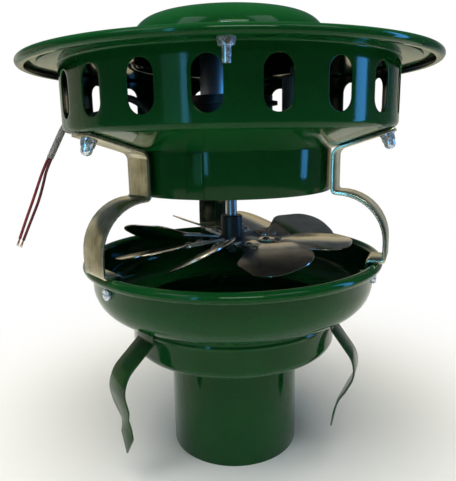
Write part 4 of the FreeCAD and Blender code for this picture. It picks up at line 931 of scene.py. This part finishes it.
@dataclass
class Studio:
    """The floor, the surroundings, the lamps and the camera.

    Attributes:
        floor_fade: from where to where the floor turns into the backdrop, in metres from the axis.
        behind: the depths at which gloss starts to see the backdrop and sees all of it.
        low_rise: the slopes above which gloss sees none of the backdrop and below which it sees all.
        rear_reach: the headings towards the back from which gloss starts to see it, and sees it most.
        dim: the strength of the surroundings elsewhere.
        eye: the camera's place, in millimetres.
    """

    floor_r: float = 0.75
    floor_colour: str = "#f4f4f2"
    floor_fade: tuple[float, float] = (0.16, 0.5)
    behind: tuple[float, float] = (0.3, 0.9)
    low_rise: tuple[float, float] = (0.4, 0.26)
    rear_reach: tuple[float, float] = (0.4, 1.05)
    dim: float = 0.12
    dim_colour: str = "#d4ecff"
    backdrop_colour: str = "#d0c4a0"
    eye: Point = (-3.8, -470.4, 295.2)
    pitch: float = 11.86
    roll: float = -1.03
    focal_px: float = 510.4
    frame_px: int = 481
    lamps: tuple[Lamp, ...] = (
        Lamp("overhead_softbox", -20.0, 0.25, 1.8, (1.7, 1.7), 46.0, "#fff8ea", rays=Rays.DIFFUSE),
        Lamp("front_left_softbox", -50.0, 1.4, 1.6, (0.8, 0.8), 6.0, "#e4f0ff"),
        Lamp("front_right_softbox", 46.0, 1.4, 1.6, (0.8, 0.8), 6.0, "#e4f0ff"),
        Lamp("left_strip", -26.0, 1.3, 0.45, (0.08, 1.0), 3.6, "#5aaef2", rays=Rays.GLOSS),
        Lamp("left_band", -33.0, 1.35, 0.45, (0.3, 1.0), 2.4, "#5fb8b0", rays=Rays.GLOSS),
        Lamp("front_card", 6.0, 1.4, 1.15, (0.8, 0.5), 14.0, "#e6fff0", rays=Rays.GLOSS),
        Lamp("left_card", -112.0, 1.3, 0.1, (1.2, 1.0), 1.4, "#fff0c8", rays=Rays.GLOSS),
        Lamp("right_strip", 84.0, 1.2, 0.45, (0.19, 1.0), 8.5, "#4b9df0", rays=Rays.GLOSS),
    )

    def shown(self, tree: bpy.types.NodeTree, depth: bpy.types.NodeSocket) -> bpy.types.NodeSocket:
        """Which rays see the backdrop: the camera's, and gloss and glass that look behind the object.

        Args:
            tree: the node tree of the floor or the world.
            depth: how far behind the object the ray goes or lands.

        Returns:
            1 where the backdrop shows, down to 0.
        """
        path = add_node(tree, "ShaderNodeLightPath", {}).outputs
        start, full = self.behind
        behind = add_node(tree, "ShaderNodeMapRange",
                          {"Value": depth, "From Min": start, "From Max": full}).outputs[0]
        bent = add_node(tree, "ShaderNodeMath", {0: path["Is Glossy Ray"], 1: path["Is Transmission Ray"]},
                        operation="MAXIMUM").outputs[0]
        seen = add_node(tree, "ShaderNodeMath", {0: bent, 1: behind}, operation="MULTIPLY").outputs[0]
        return add_node(tree, "ShaderNodeMath", {0: path["Is Camera Ray"], 1: seen},
                        operation="MAXIMUM").outputs[0]

    def backdrop(self, tree: bpy.types.NodeTree) -> bpy.types.NodeSocket:
        """The backdrop's colour: white to the camera, and its own pale cream in gloss and glass."""
        camera = add_node(tree, "ShaderNodeLightPath", {}).outputs["Is Camera Ray"]
        return add_node(tree, "ShaderNodeMix", {0: camera, 6: linear(self.backdrop_colour), 7: (1, 1, 1, 1)},
                        data_type="RGBA").outputs[2]

    def floor(self) -> None:
        """Lay a plain pale floor that keeps the object's shadow and runs out into white."""
        bm = bmesh.new()
        bmesh.ops.create_circle(bm, cap_ends=True, radius=self.floor_r, segments=96)
        bmesh.ops.translate(bm, verts=bm.verts, vec=(0, 0, -0.0002))
        bmesh.ops.recalc_face_normals(bm, faces=bm.faces)
        piece = new_piece("floor", bm)
        material = bpy.data.materials.new("pale_floor")
        material.use_nodes = True
        tree = material.node_tree
        shader = tree.nodes["Principled BSDF"]
        shader.inputs["Base Color"].default_value = linear(self.floor_colour)
        shader.inputs["Roughness"].default_value = 0.9
        shader.inputs["Specular IOR Level"].default_value = 0.1
        place = add_node(tree, "ShaderNodeTexCoord", {}).outputs["Object"]
        away = add_node(tree, "ShaderNodeVectorMath", {0: place}, operation="LENGTH").outputs["Value"]
        near, gone = self.floor_fade
        far = add_node(tree, "ShaderNodeMapRange", {"Value": away, "From Min": near, "From Max": gone},
                       interpolation_type="SMOOTHSTEP").outputs[0]
        depth = add_node(tree, "ShaderNodeSeparateXYZ", {0: place}).outputs["Y"]
        shown = self.shown(tree, depth)
        share = add_node(tree, "ShaderNodeMath", {0: far, 1: shown}, operation="MULTIPLY").outputs[0]
        glow = add_node(tree, "ShaderNodeEmission",
                        {"Color": self.backdrop(tree), "Strength": 1.0}).outputs[0]
        mixed = add_node(tree, "ShaderNodeMixShader", {0: share, 1: shader.outputs[0], 2: glow}).outputs[0]
        tree.links.new(mixed, tree.nodes["Material Output"].inputs["Surface"])
        piece.data.materials.append(material)

    def world(self) -> None:
        """Surround everything with a dim even tone, and with the backdrop where it shows."""
        world = bpy.data.worlds.new("studio")
        bpy.context.scene.world = world
        world.use_nodes = True
        tree = world.node_tree
        heading = add_node(tree, "ShaderNodeTexCoord", {}).outputs["Generated"]
        parts = add_node(tree, "ShaderNodeSeparateXYZ", {0: heading}).outputs
        top, full = self.low_rise
        low = add_node(tree, "ShaderNodeMapRange",
                       {"Value": parts["Z"], "From Min": top, "From Max": full}).outputs[0]
        side, rear = self.rear_reach
        back = add_node(tree, "ShaderNodeMapRange",
                        {"Value": parts["Y"], "From Min": side, "From Max": rear}).outputs[0]
        depth = add_node(tree, "ShaderNodeMath", {0: back, 1: low}, operation="MULTIPLY").outputs[0]
        shown = self.shown(tree, depth)
        strength = add_node(tree, "ShaderNodeMapRange",
                            {"Value": shown, "To Min": self.dim, "To Max": 1.0}).outputs[0]
        background = tree.nodes["Background"]
        tint = add_node(tree, "ShaderNodeMix", {0: shown, 6: linear(self.dim_colour), 7: self.backdrop(tree)},
                        data_type="RGBA").outputs[2]
        tree.links.new(tint, background.inputs["Color"])
        tree.links.new(strength, background.inputs["Strength"])

    def camera(self) -> None:
        """Stand the camera at the photograph's viewing angle."""
        data = bpy.data.cameras.new("camera")
        data.sensor_fit = "AUTO"
        data.sensor_width = 36.0
        data.lens = self.focal_px * data.sensor_width / self.frame_px
        camera = bpy.data.objects.new("camera", data)
        bpy.context.scene.collection.objects.link(camera)
        tilt = Matrix.Rotation(math.radians(90.0 - self.pitch), 4, "X")
        camera.matrix_world = (Matrix.Translation(Vector(self.eye) * MM) @ tilt
                               @ Matrix.Rotation(math.radians(self.roll), 4, "Z"))
        bpy.context.scene.camera = camera

    def build(self) -> None:
        """Set up everything round the object."""
        self.camera()
        self.floor()
        self.world()
        for lamp in self.lamps:
            lamp.build()
        bpy.context.scene.view_settings.view_transform = "Standard"


def main() -> None:
    """Build the studio and the sub-assemblies in order."""
    logging.basicConfig(level=logging.INFO, format="%(name)s: %(message)s")
    Studio().build()
    Cords().build()
    LowerShells().build()
    Neck().build()
    Drum().build()
    RainHat().build()
    for side, azimuth, lean in (("left", -51.0, 0.0), ("right", 69.0, 14.0), ("back", 189.0, 7.0)):
        Strap(side, azimuth).build()
        SpringLeg(side, azimuth, lean).build()
    Paddles().build()
    Hardware().build()


if __name__ == "__main__":
    main()
